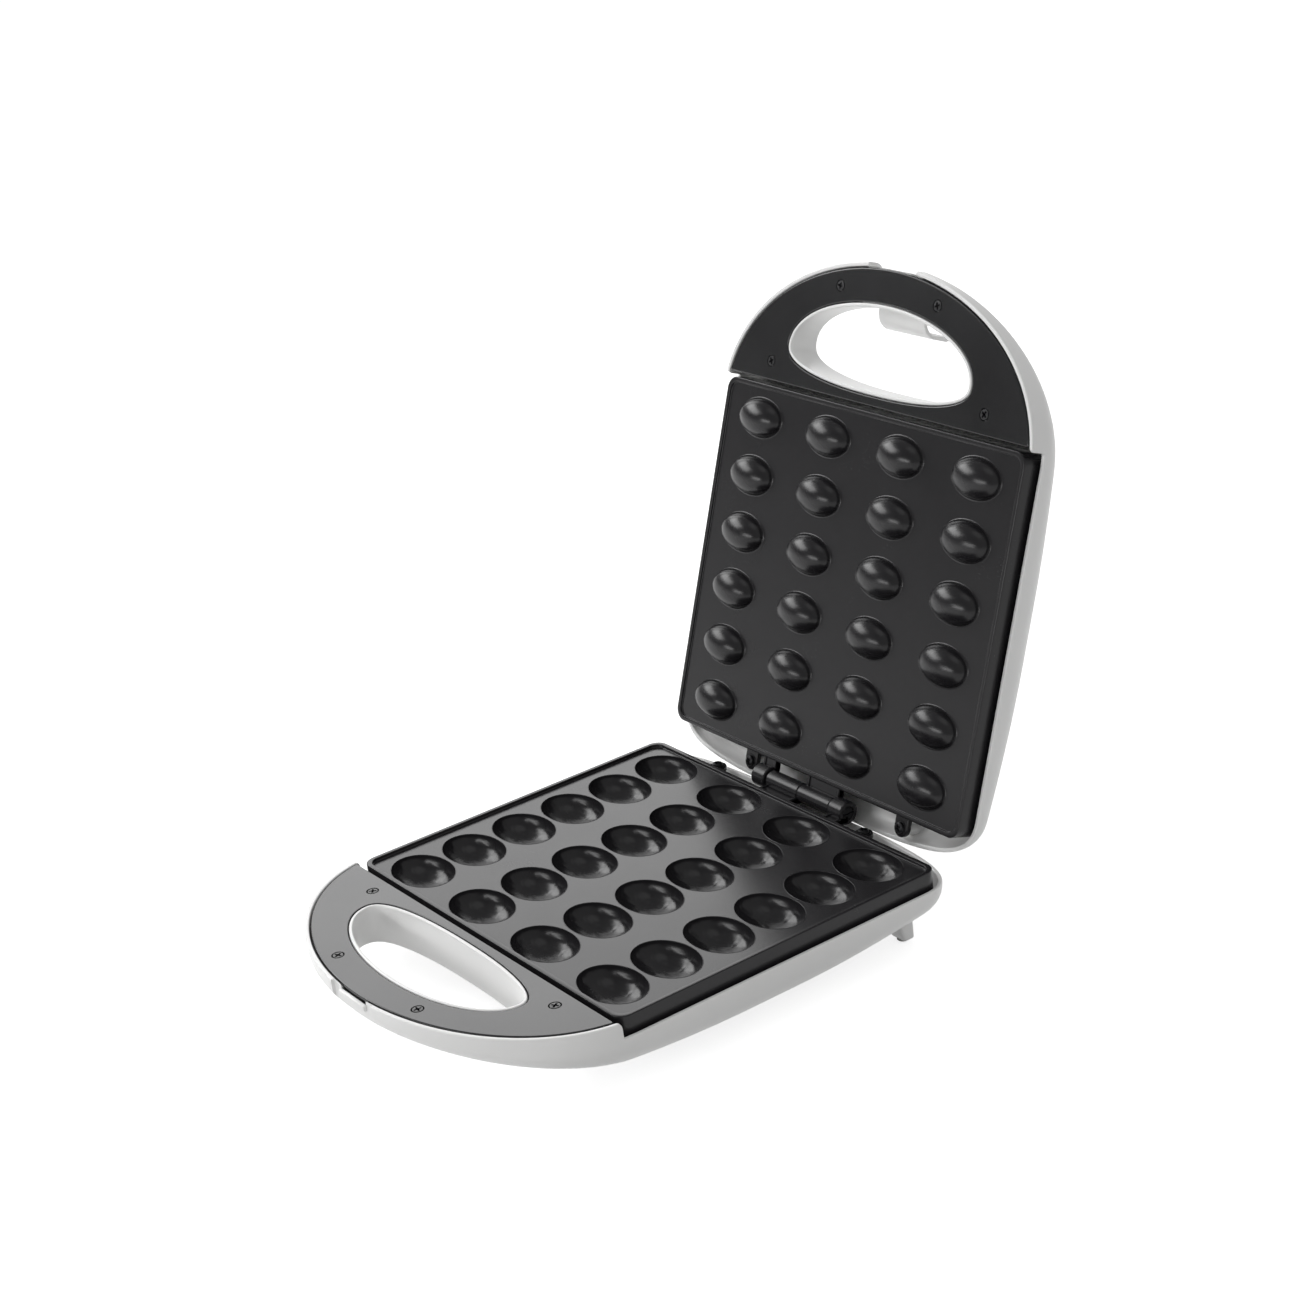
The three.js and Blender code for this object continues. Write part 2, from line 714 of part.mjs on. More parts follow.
// The recess round the handle's tip that the hooked latch lies in. It is open towards the finger
// opening, where the released latch leaves it.
function latchRecess() {
  const low = -halves.lid.depth - overrun;
  const bendY = slotFloorY - fit - latchThickness + latchBend;
  const bendZ = latchPivotZ + latchArmRise - latchThickness / 2 + latchBend;
  const floorRadius = latchBend - latchThickness - fit;
  const releasedZ = latchPivotZ - latchArmRise + latchThickness / 2 + fit;
  const side = new THREE.Shape();
  side.moveTo(slotFloorY, low);
  side.lineTo(openingY, low);
  side.lineTo(openingY, releasedZ);
  side.lineTo(latchPivotY, releasedZ);
  side.lineTo(latchPivotY, bendZ - floorRadius);
  side.absarc(bendY, bendZ, floorRadius, -Math.PI / 2, -Math.PI, true);
  return joined([
    prismAlongX(side, -latchSlotHalfWidth, latchSlotHalfWidth),
    rodAlongX(latchBarrelRadius + fit, -latchSlotHalfWidth, latchSlotHalfWidth, latchPivotY, latchPivotZ),
  ]);
}

function lampPlaces() {
  return [{ name: 'lamp_power', x: -lampOffset }, { name: 'lamp_ready', x: lampOffset }];
}

// The lid's shell carries the latch in a solid seat at the handle's tip, and two indicator lamps.
function lidShell() {
  const half = halves.lid;
  const openingFrontY = openingY - openingFrontRise + openingWall;
  const seat = block([-latchPinEnd, handleFrontY, -half.depth - overrun],
    [latchPinEnd, openingFrontY, -trimBottom - fit]);
  const pinHole = rodAlongX(latchPinRadius + fit, -latchPinEnd - overrun, latchPinEnd + overrun,
    latchPivotY, latchPivotZ);
  const lampHoles = lampPlaces().map(({ x }) => (
    rodAlongZ(lampRadius + fit, -half.depth - overrun, -half.frontDepth, x, lampY)));
  return cut(shell(half, [], [seat]), [latchRecess(), pinHole, ...lampHoles]);
}

// A black satin cover that closes the handle's channel round the finger opening.
function handleTrim() {
  const slab = outlinePrism(shellWall + fit, -trimBottom, -trimTop);
  const front = block([-bodyHalfWidth, handleFrontY - overrun, -trimBottom - overrun],
    [bodyHalfWidth, trimRearY, overrun]);
  const opening = prism(openingShape(openingWall + fit), -trimBottom - overrun, overrun);
  const clearRadius = screwHeadRadius + fit;
  const sinks = trimScrewPlaces().map(({ x, y }) => turned([
    [0, -screwHeadHeight - overrun], [screwShankRadius + fit, -screwHeadHeight - overrun],
    [screwShankRadius + fit, -screwHeadHeight], [clearRadius, -fit], [clearRadius, overrun], [0, overrun],
  ], screwSegments, x, y, -trimTop));
  return cut(slab.intersect(front), [opening, ...sinks]);
}

// A cross-recessed screw with its head's top at z = 0.
function screw(countersunk) {
  const headEdge = countersunk ? fit : screwHeadHeight;
  const shankTop = countersunk ? screwHeadHeight : screwHeadHeight + fit / 2;
  const body = turned([
    [0, -screwLength], [screwShankRadius, -screwLength], [screwShankRadius, -shankTop],
    [screwHeadRadius, -headEdge], [screwHeadRadius, 0], [0, 0],
  ], screwSegments);
  const [long, short] = [screwRecessLength / 2, screwRecessWidth / 2];
  return cut(body, [
    block([-long, -short, -screwRecessDepth], [long, short, overrun]),
    block([-short, -long, -screwRecessDepth], [short, long, overrun]),
  ]);
}

function hingePin() {
  const end = knuckleLength + earGap + earThickness;
  const shank = rodAlongX(hingePinRadius, -end, end - hingePinHeadHeight / 2, hingeY, 0);
  const head = rodAlongX(hingePinHeadRadius, end - hingePinHeadHeight, end, hingeY, 0);
  const slot = block([end - hingePinHeadHeight / 2, hingeY - hingePinHeadRadius, -screwRecessWidth / 2],
    [end + overrun, hingeY + hingePinHeadRadius, screwRecessWidth / 2]);
  return cut(joined([shank, head]), [slot]);
}

// A round tube on one level, through points in the plane.
function levelTube(path, z, radius) {
  const sides = 8;
  const positions = [];
  const triangles = [];
  path.forEach((point, i) => {
    const before = path[Math.max(i - 1, 0)];
    const after = path[Math.min(i + 1, path.length - 1)];
    const along = after.clone().sub(before).normalize();
    for (let side = 0; side < sides; side += 1) {
      const angle = (side + 0.5) / sides * Math.PI * 2;
      const out = Math.cos(angle) * radius;
      positions.push(point.x + along.y * out, point.y - along.x * out, z + Math.sin(angle) * radius);
      if (i > 0) {
        const [a, b] = [(i - 1) * sides + side, (i - 1) * sides + (side + 1) % sides];
        triangles.push(a, b + sides, b, a, a + sides, b + sides);
      }
    }
  });
  const end = (path.length - 1) * sides;
  for (let side = 1; side + 1 < sides; side += 1) {
    triangles.push(0, side, side + 1, end, end + side + 1, end + side);
  }
  const geometry = new THREE.BufferGeometry();
  geometry.setAttribute('position', new THREE.Float32BufferAttribute(positions, 3));
  geometry.setIndex(triangles);
  return solidOf(geometry);
}

// The sheathed heating element winds to and fro, one run under each column of nuts.
function heatingElement(half) {
  const turnRadius = columnPitch / 2;
  const endY = (rows - 1) / 2 * rowPitch;
  const runEndY = endY - turnRadius;
  const path = [];
  for (let column = 0; column < columns; column += 1) {
    const x = (column - (columns - 1) / 2) * columnPitch;
    const forward = column % 2 === 0 ? -1 : 1;
    const startY = column === 0 ? endY : -forward * runEndY;
    const lastY = column === columns - 1 ? endY : forward * runEndY;
    path.push(new THREE.Vector2(x, startY), new THREE.Vector2(x, lastY));
    if (column < columns - 1) {
      for (let step = 1; step < curveSteps; step += 1) {
        const angle = Math.PI - step / curveSteps * Math.PI;
        path.push(new THREE.Vector2(x + turnRadius + Math.cos(angle) * turnRadius,
          lastY + forward * Math.sin(angle) * turnRadius));
      }
    }
  }
  return levelTube(path, elementZ(half), elementRadius);
}

function reflector(half) {
  const top = reflectorTopZ(half);
  return prism(roundedRectangle(plateHalfWidth - reflectorSideMargin,
    plateHalfDepth - reflectorEndMargin, plateCornerRadius), top - reflectorThickness, top);
}

function rubberFoot(radius) {
  return turned([
    [0, 0], [radius, 0], [radius, padThickness], [padStemRadius, padThickness],
    [padStemRadius, padThickness + padStemLength], [0, padThickness + padStemLength],
  ], roundSegments);
}

function terminalBlock() {
  const low = [terminalX - terminalLength / 2, terminalY - terminalDepth / 2, terminalFloorZ];
  const high = [low[0] + terminalLength, low[1] + terminalDepth, terminalFloorZ + terminalHeight];
  const spacing = terminalLength / 3;
  const holes = [-spacing, 0, spacing].map((offset) => (
    rodAlongY(terminalHoleRadius, low[1] - overrun, high[1] + overrun, terminalX + offset,
      terminalFloorZ + terminalHeight / 2)));
  return cut(block(low, high), holes);
}

function thermalFuse() {
  const z = undersideZ(halves.base) - fit - fuseRadius;
  return rodAlongY(fuseRadius, -fuseLength / 2, fuseLength / 2, 0, z);
}

function thermostat() {
  const top = undersideZ(halves.lid) - fit;
  return turned([
    [0, -thermostatHeight], [thermostatRadius, -thermostatHeight],
    [thermostatRadius, -thermostatFlangeHeight], [thermostatFlangeRadius, -thermostatFlangeHeight],
    [thermostatFlangeRadius, 0], [0, 0],
  ], roundSegments, 0, 0, top);
}

// A lamp lens pushed out through the shell from inside, with its flange behind the wall.
function lamp(x) {
  const outer = depthAt(halves.lid, lampY);
  const seat = outer - depthAt(halves.lid, lampY - lampFlangeRadius) + shellWall + fit;
  return turned([
    [0, -lampProud], [lampRadius, -lampProud], [lampRadius, seat], [lampFlangeRadius, seat],
    [lampFlangeRadius, seat + lampFlangeHeight], [lampBodyRadius, seat + lampFlangeHeight],
    [lampBodyRadius, seat + lampBodyHeight], [0, seat + lampBodyHeight],
  ], roundSegments, x, lampY, -outer);
}

// The gland is a flanged bush in the rear wall, with its bore along Y.
function cordGland() {
  const face = fit;
  const bush = turned([
    [glandBoreRadius, -glandNeckLength], [glandNeckRadius, -glandNeckLength], [glandNeckRadius, face],
    [glandRadius, face], [glandRadius, face + glandFlangeHeight],
    [glandBoreRadius, face + glandFlangeHeight], [glandBoreRadius, -glandNeckLength],
  ], roundSegments);
  return bush.rotate([-90, 0, 0]).translate([glandX, rearMiddleY, -glandDrop]);
}

// The latch flips over on its pin in the lid's handle. It is drawn hooked, about the pivot at the
// origin: it bends round the handle's tip, and its window slips over the base's catch.
function latch() {
  const legFaceY = slotFloorY - fit - latchPivotY;
  const legOuterY = legFaceY - latchThickness;
  const armOuterZ = latchArmRise - latchThickness / 2;
  const [bendY, bendZ] = [legOuterY + latchBend, armOuterZ + latchBend];
  const catchTop = trimBottom + fit - latchPivotZ;
  const windowTop = catchTop - fit;
  const windowEnd = catchTop + catchHeight + catchPlay;
  const legEnd = windowEnd + latchBarHeight;
  const side = new THREE.Shape();
  side.moveTo(0, armOuterZ);
  side.absarc(bendY, bendZ, latchBend, -Math.PI / 2, -Math.PI, true);
  side.lineTo(legOuterY, legEnd);
  side.lineTo(legFaceY, legEnd);
  side.absarc(bendY, bendZ, latchBend - latchThickness, -Math.PI, -Math.PI / 2, false);
  side.lineTo(0, armOuterZ + latchThickness);
  const strip = prismAlongX(side, -latchHalfWidth, latchHalfWidth);
  const barrel = rodAlongX(latchBarrelRadius, -latchHalfWidth, latchHalfWidth, 0, 0);
  const window = block([-latchWindowHalfWidth, legOuterY - overrun, windowTop],
    [latchWindowHalfWidth, legFaceY + overrun, windowEnd]);
  const pinHole = rodAlongX(latchPinRadius + fit, -latchHalfWidth - overrun,
    latchHalfWidth + overrun, 0, 0);
  return cut(joined([barrel, strip]), [window, pinHole]);
}

function latchPin() {
  return rodAlongX(latchPinRadius, -latchPinEnd, latchPinEnd, latchPivotY, latchPivotZ);
}

function piece(group, name, solid, finish) {
  const mesh = new THREE.Mesh(geometryOf(solid), new THREE.MeshStandardMaterial(finish));
  mesh.name = name;
  group.add(mesh);
  return mesh;
}

function sideName(x) {
  return x < 0 ? 'left' : 'right';
}

// Puts a half's trim, element, reflector and screws in place. In the lid, which is turned
// over about Y, left and right change places.
function furnish(group, half, prefix, sideSign) {
  piece(group, `${prefix}_handle_trim`, handleTrim(), finishes.blackTrim);
  piece(group, `${prefix}_heating_element`, heatingElement(half), finishes.element);
  piece(group, `${prefix}_reflector`, reflector(half), finishes.reflector);
  for (const { end, x, y } of trimScrewPlaces()) {
    const name = `${prefix}_trim_screw_${end}_${sideName(x * sideSign)}`;
    piece(group, name, screw(true), finishes.blackScrew).position.set(x, y, -trimTop);
  }
  for (const { x, y } of lugPlaces()) {
    const name = `${prefix}_plate_screw_${sideName(x * sideSign)}`;
    const mesh = piece(group, name, screw(false), finishes.blackScrew);
    mesh.position.set(x, y, lugTopZ + fit + screwHeadHeight);
  }
}

function buildBase() {
  const base = new THREE.Group();
  piece(base, 'base_shell', baseShell(), finishes.whiteShell);
  piece(base, 'base_plate', basePlate(), finishes.cookingPlate);
  furnish(base, halves.base, 'base', 1);
  piece(base, 'hinge_pin', hingePin(), finishes.steel);
  piece(base, 'terminal_block', terminalBlock(), finishes.terminal);
  piece(base, 'thermal_fuse', thermalFuse(), finishes.steel);
  piece(base, 'cord_gland', cordGland(), finishes.darkRubber);
  for (const { name, x, y, radius } of footPlaces()) {
    piece(base, `foot_${name}`, rubberFoot(radius), finishes.rubber).position.set(x, y, -standHeight);
  }
  return base;
}

function buildLid() {
  const lid = new THREE.Group();
  piece(lid, 'lid_shell', lidShell(), finishes.whiteShell);
  piece(lid, 'lid_plate', lidPlate(), finishes.cookingPlate);
  furnish(lid, halves.lid, 'lid', -1);
  piece(lid, 'thermostat', thermostat(), finishes.steel);
  for (const { name, x } of lampPlaces()) {
    piece(lid, name, lamp(x), name === 'lamp_power' ? finishes.lampRed : finishes.lampGreen);
  }
  piece(lid, 'latch_pin', latchPin(), finishes.steel);
  const latchPivot = new THREE.Group();
  latchPivot.position.set(0, latchPivotY, latchPivotZ);
  latchPivot.rotation.x = latchSwing;
  piece(latchPivot, 'latch', latch(), finishes.whiteShell);
  lid.add(latchPivot);
  return lid;
}

// The lid stands fully open, as the object is shown.
function buildModel() {
  const lid = buildLid();
  lid.rotation.y = Math.PI;
  lid.position.y = -hingeY;
  const hinge = new THREE.Group();
  hinge.position.y = hingeY;
  hinge.rotation.x = -openAngle;
  hinge.add(lid);
  const machine = new THREE.Group();
  machine.add(buildBase(), hinge);
  return machine;
}

// The origin is at the middle of the box round the open machine, on the surface it stands on.
const machine = buildModel();
const box = new THREE.Box3().setFromObject(machine, true);
const middle = box.getCenter(new THREE.Vector3());
machine.position.set(-middle.x, -middle.y, -box.min.z);

const model = new THREE.Group();
model.add(machine);

export default model;
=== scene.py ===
"""The looks of an open nut cookie maker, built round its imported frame.

Both halves are drawn in one half frame, in millimetres: the mating plane is z = 0, the half
lies below it, its handle points to -Y and its hinge is at +Y. A matrix then puts each half
where the frame has it, in metres.
"""

import json
import logging
import math
from dataclasses import dataclass
from enum import Enum
from typing import Callable, ClassVar, Iterable, Sequence

import bmesh
import bpy
import numpy as np
from mathutils import Matrix, Vector, noise
from mathutils.geometry import delaunay_2d_cdt


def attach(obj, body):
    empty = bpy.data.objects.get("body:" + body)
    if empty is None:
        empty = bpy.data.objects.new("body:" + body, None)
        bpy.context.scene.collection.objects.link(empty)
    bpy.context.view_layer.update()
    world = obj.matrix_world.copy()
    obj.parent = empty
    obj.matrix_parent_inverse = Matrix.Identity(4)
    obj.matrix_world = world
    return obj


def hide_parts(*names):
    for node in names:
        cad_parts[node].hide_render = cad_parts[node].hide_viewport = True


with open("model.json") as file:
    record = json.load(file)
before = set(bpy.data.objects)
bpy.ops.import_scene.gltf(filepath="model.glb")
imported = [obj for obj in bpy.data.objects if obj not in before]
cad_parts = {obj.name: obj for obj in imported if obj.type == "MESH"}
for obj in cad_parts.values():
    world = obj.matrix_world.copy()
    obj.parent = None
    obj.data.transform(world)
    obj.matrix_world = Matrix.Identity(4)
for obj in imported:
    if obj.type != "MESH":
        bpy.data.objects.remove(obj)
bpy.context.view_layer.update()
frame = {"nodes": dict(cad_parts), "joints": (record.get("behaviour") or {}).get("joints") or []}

log = logging.getLogger("nut_cookie_maker")

Point = tuple[float, float, float]
Flat = tuple[float, float]
MM = 0.001
QUARTER = math.pi / 2
ALONG_X = Matrix(((0, 0, 1, 0), (1, 0, 0, 0), (0, 1, 0, 0), (0, 0, 0, 1)))
ALONG_Y = Matrix.Rotation(-QUARTER, 4, "X")
TO_FRONT = Matrix.Rotation(QUARTER, 4, "X")
# Width in millimetres of the flat band beside a rounded edge, which keeps its shading to itself,
# and the smallest edge that has one.
HOLD, HELD_EDGE = 0.25, 0.3
# Edges that turn by more than this many degrees stay sharp.
CREASE = 34.0
# Noise vectors differ from run to run without a seed.
noise.seed_set(24)


class Half(Enum):
    """The two halves of the machine."""

    BASE = "base"
    LID = "lid"

    def side(self, x: float) -> str:
        """Names the side of the closed machine that an X of this half lies on."""
        return "left" if (x < 0) == (self is Half.BASE) else "right"


class Act(Enum):
    """What closed forms do to a piece."""

    JOIN = "UNION"
    CUT = "DIFFERENCE"


def lerp(a: float, b: float, share: float) -> float:
    """Returns the value that lies the given share of the way from a to b."""
    return a + (b - a) * share


def linear(hex_colour: str) -> tuple[float, float, float, float]:
    """Turns an sRGB hex colour into linear light.

    Args:
        hex_colour: six hex digits with a leading #.

    Returns:
        Linear red, green and blue, with an alpha of 1.
    """
    channels = [int(hex_colour[i:i + 2], 16) / 255 for i in (1, 3, 5)]
    red, green, blue = (c / 12.92 if c <= 0.04045 else ((c + 0.055) / 1.055) ** 2.4 for c in channels)
    return red, green, blue, 1.0


def add_node(tree: bpy.types.NodeTree, kind: str, links: dict | None = None, **settings) -> bpy.types.Node:
    """Adds a shader node with its settings and links.

    Args:
        tree: the node tree of a material or world.
        kind: the node's type name, after ShaderNode.
        links: input name or number to a value or to another node's output.
        settings: attributes of the node.

    Returns:
        The new node.
    """
    made = tree.nodes.new("ShaderNode" + kind)
    for name, value in settings.items():
        setattr(made, name, value)
    for name, value in (links or {}).items():
        if isinstance(value, bpy.types.NodeSocket):
            tree.links.new(value, made.inputs[name])
        else:
            made.inputs[name].default_value = value
    return made


@dataclass(frozen=True)
class Finish:
    """A real surface finish: its colour, gloss and the relief of how it was made.

    The pattern sizes are real lengths in millimetres on the object.
    """

    name: str
    colour: str
    shade: str
    roughness: float
    roughness_spread: float = 0.05
    ior: float = 1.5
    metallic: float = 0.0
    brushed: bool = False
    grain_mm: float = 1.0
    relief_mm: float = 0.01
    cloud_mm: float = 60.0
    coat: float = 0.0
    coat_roughness: float = 0.1
    transmission: float = 0.0

    def make(self) -> bpy.types.Material:
        """Returns the finish as a node material, which is made once."""
        known = bpy.data.materials.get(self.name)
        if known:
            return known
        material = bpy.data.materials.new(self.name)
        material.use_nodes = True
        tree = material.node_tree
        inputs = tree.nodes["Principled BSDF"].inputs
        place = fine_place = add_node(tree, "TexCoord").outputs["Object"]
        if self.brushed:
            stretch = {"Vector": place, "Scale": (0.04, 1.0, 1.0)}
            fine_place = add_node(tree, "Mapping", stretch).outputs["Vector"]
        cloud = add_node(tree, "TexNoise", {
            "Vector": place, "Scale": 1 / (self.cloud_mm * MM), "Detail": 4.0, "Roughness": 0.6,
        }).outputs["Fac"]
        fine = add_node(tree, "TexNoise", {
            "Vector": fine_place, "Scale": 1 / (self.grain_mm * MM), "Detail": 2.0, "Roughness": 0.5,
        }).outputs["Fac"]
        tone = add_node(tree, "Mix", {
            "Factor": cloud, "A": linear(self.colour), "B": linear(self.shade),
        }, data_type="RGBA")
        both = add_node(tree, "Math", {0: cloud, 1: fine}, operation="ADD")
        gloss = add_node(tree, "MapRange", {
            "Value": both.outputs["Value"], "From Min": 0.6, "From Max": 1.4,
            "To Min": self.roughness - self.roughness_spread,
            "To Max": self.roughness + self.roughness_spread,
        })
        bump = add_node(tree, "Bump", {"Height": fine, "Distance": self.relief_mm * MM, "Strength": 1.0})
        tree.links.new(tone.outputs["Result"], inputs["Base Color"])
        tree.links.new(gloss.outputs["Result"], inputs["Roughness"])
        tree.links.new(bump.outputs["Normal"], inputs["Normal"])
        for socket, value in (("IOR", self.ior), ("Metallic", self.metallic), ("Coat Weight", self.coat),
                              ("Coat Roughness", self.coat_roughness),
                              ("Transmission Weight", self.transmission)):
            inputs[socket].default_value = value
        return material


# Injection-moulded ABS from a polished tool: an even satin gloss with a faint ripple.
WHITE_ABS = Finish("moulded_white_abs", "#F1F1F0", "#ECECEB", 0.34, 0.03, grain_mm=2.2,
                   relief_mm=0.012, cloud_mm=90)
# Heat-proof phenolic moulding from a spark-eroded tool: a soft sheen, near black.
BLACK_PHENOLIC = Finish("spark_grained_black_phenolic", "#111113", "#141416", 0.23, 0.03,
                        grain_mm=0.55, relief_mm=0.006, cloud_mm=45)
# Sprayed and baked fluoropolymer coat: near black with a very fine orange peel.
NONSTICK = Finish("sprayed_nonstick_coat", "#1E1D1F", "#212022", 0.25, 0.03, ior=1.37,
                  grain_mm=0.7, relief_mm=0.002, cloud_mm=38)
# Blackened steel: the oxide leaves a dull metal gleam on the edges.
BLACK_STEEL = Finish("black_oxide_steel", "#1B1B1D", "#2A2A2C", 0.42, 0.08, metallic=0.7,
                     brushed=True, grain_mm=0.3, relief_mm=0.004, cloud_mm=4)
# Stove-enamelled screw heads: satin black, as even as the trim they sit in.
BLACK_LACQUER = Finish("black_lacquered_steel", "#1E1E20", "#232325", 0.3, 0.03, grain_mm=0.6,
                       relief_mm=0.004, cloud_mm=6)
# Zinc-plated turned steel.
ZINC_STEEL = Finish("zinc_plated_steel", "#A6A8AA", "#8F9194", 0.33, 0.07, metallic=1.0,
                    brushed=True, grain_mm=0.25, relief_mm=0.004, cloud_mm=6)
# Heater sheath, tinted by heat.
HEATED_SHEATH = Finish("heat_tinted_sheath", "#6F6A63", "#54504C", 0.5, 0.08, metallic=1.0,
                       grain_mm=0.5, relief_mm=0.006, cloud_mm=14)
# Bright rolled aluminium sheet.
ROLLED_ALUMINIUM = Finish("rolled_aluminium", "#C9CBCD", "#BFC1C3", 0.3, 0.06, metallic=1.0,
                          brushed=True, grain_mm=0.4, relief_mm=0.004, cloud_mm=30)
# Moulded silicone feet: matt, with a little dust.
GREY_RUBBER = Finish("moulded_grey_rubber", "#B4B4B1", "#A5A5A2", 0.8, 0.06, grain_mm=0.4,
                     relief_mm=0.02, cloud_mm=5)
# Moulded black rubber.
BLACK_RUBBER = Finish("moulded_black_rubber", "#232325", "#2D2D2F", 0.72, 0.07, grain_mm=0.4,
                      relief_mm=0.02, cloud_mm=6)
# Unglazed steatite, as terminal blocks near heat are made of.
STEATITE = Finish("unglazed_steatite", "#E2DCCB", "#D6CFBC", 0.62, 0.06, grain_mm=0.3,
                  relief_mm=0.015, cloud_mm=8)
# Dyed clear polycarbonate lenses.
RED_LENS, GREEN_LENS = (
    Finish(f"dyed_{name}_polycarbonate", colour, shade, 0.12, 0.02, ior=1.58, grain_mm=1.5, relief_mm=0.003,
           cloud_mm=3, coat=0.5, coat_roughness=0.05, transmission=0.35)
    for name, colour, shade in (("red", "#B81712", "#A2110E"), ("green", "#219A44", "#1A8639")))
# A matt studio sweep of painted board.
PALE_FLOOR = Finish("matt_pale_floor", "#CCCCCC", "#CACACA", 0.9, 0.02, ior=1.2, grain_mm=2.0,
                    relief_mm=0.01, cloud_mm=400.0)


def arc(first: float, last: float, steps: int, radius: float = 1.0, x: float = 0.0,
        y: float = 0.0) -> list[Flat]:
    """Draws an arc at even steps from one angle to another, with both ends.

    Args:
        first: angle of the first point.
        last: angle of the last point.
        steps: how many parts the arc has.
        radius: of the arc.
        x: of its centre.
        y: of its centre.

    Returns:
        One point more than there are steps.
    """
    angles = (lerp(first, last, i / steps) for i in range(steps + 1))
    return [(x + radius * math.cos(a), y + radius * math.sin(a)) for a in angles]


def edge(inset: float, z: float, across: float, down: float, steps: int = 3) -> list[Flat]:
    """Draws a quarter round between an upright wall and a level face.

    Args:
        inset: where the wall is.
        z: height of the level face.
        across: how far the round reaches in from the wall, negative for outwards.
        down: how far it reaches down from the level face, negative for up.
        steps: faces round the edge.

    Returns:
        Insets and heights from the wall to the level face.
    """
    return [(inset + across * (1 - c), z - down * (1 - s)) for c, s in arc(0, QUARTER, steps)]


def offset_loop(loop: Sequence[Flat], inset: float) -> list[Flat]:
    """Draws a counter-clockwise loop inwards, or outwards when the inset is negative.

    Args:
        loop: points of the closed loop.
        inset: distance in millimetres.

    Returns:
        As many points, moved square to the loop.
    """
    points = np.array(loop, float)
    before = points - np.roll(points, 1, axis=0)
    after = np.roll(points, -1, axis=0) - points
    before /= np.linalg.norm(before, axis=1, keepdims=True)
    after /= np.linalg.norm(after, axis=1, keepdims=True)
    along = before + after
    along /= np.linalg.norm(along, axis=1, keepdims=True)
    inward = np.stack([-along[:, 1], along[:, 0]], axis=1)
    stretch = np.maximum(np.sum(along * before, axis=1), 0.5)
    moved = points + inward * (inset / stretch)[:, None]
    return [(float(x), float(y)) for x, y in moved]


def at_height(loop: Iterable[Flat], z: float) -> list[Point]:
    """Returns a flat loop's points at one height."""
    return [(x, y, z) for x, y in loop]


def circle(radius: float, count: int, x: float = 0.0, y: float = 0.0) -> list[Flat]:
    """Returns a counter-clockwise circle of that many points."""
    return arc(0, math.tau, count, radius, x, y)[:-1]


def rounded_rectangle(half_x: float, half_y: float, radius: float, steps: int = 8,
                      x: float = 0.0, y: float = 0.0) -> list[Flat]:
    """Returns a counter-clockwise rectangle with round corners about the point x, y."""
    points = []
    for corner, (sx, sy) in enumerate([(1, 1), (-1, 1), (-1, -1), (1, -1)]):
        points += arc(corner * QUARTER, (corner + 1) * QUARTER, steps, radius,
                      x + sx * (half_x - radius), y + sy * (half_y - radius))
    return points


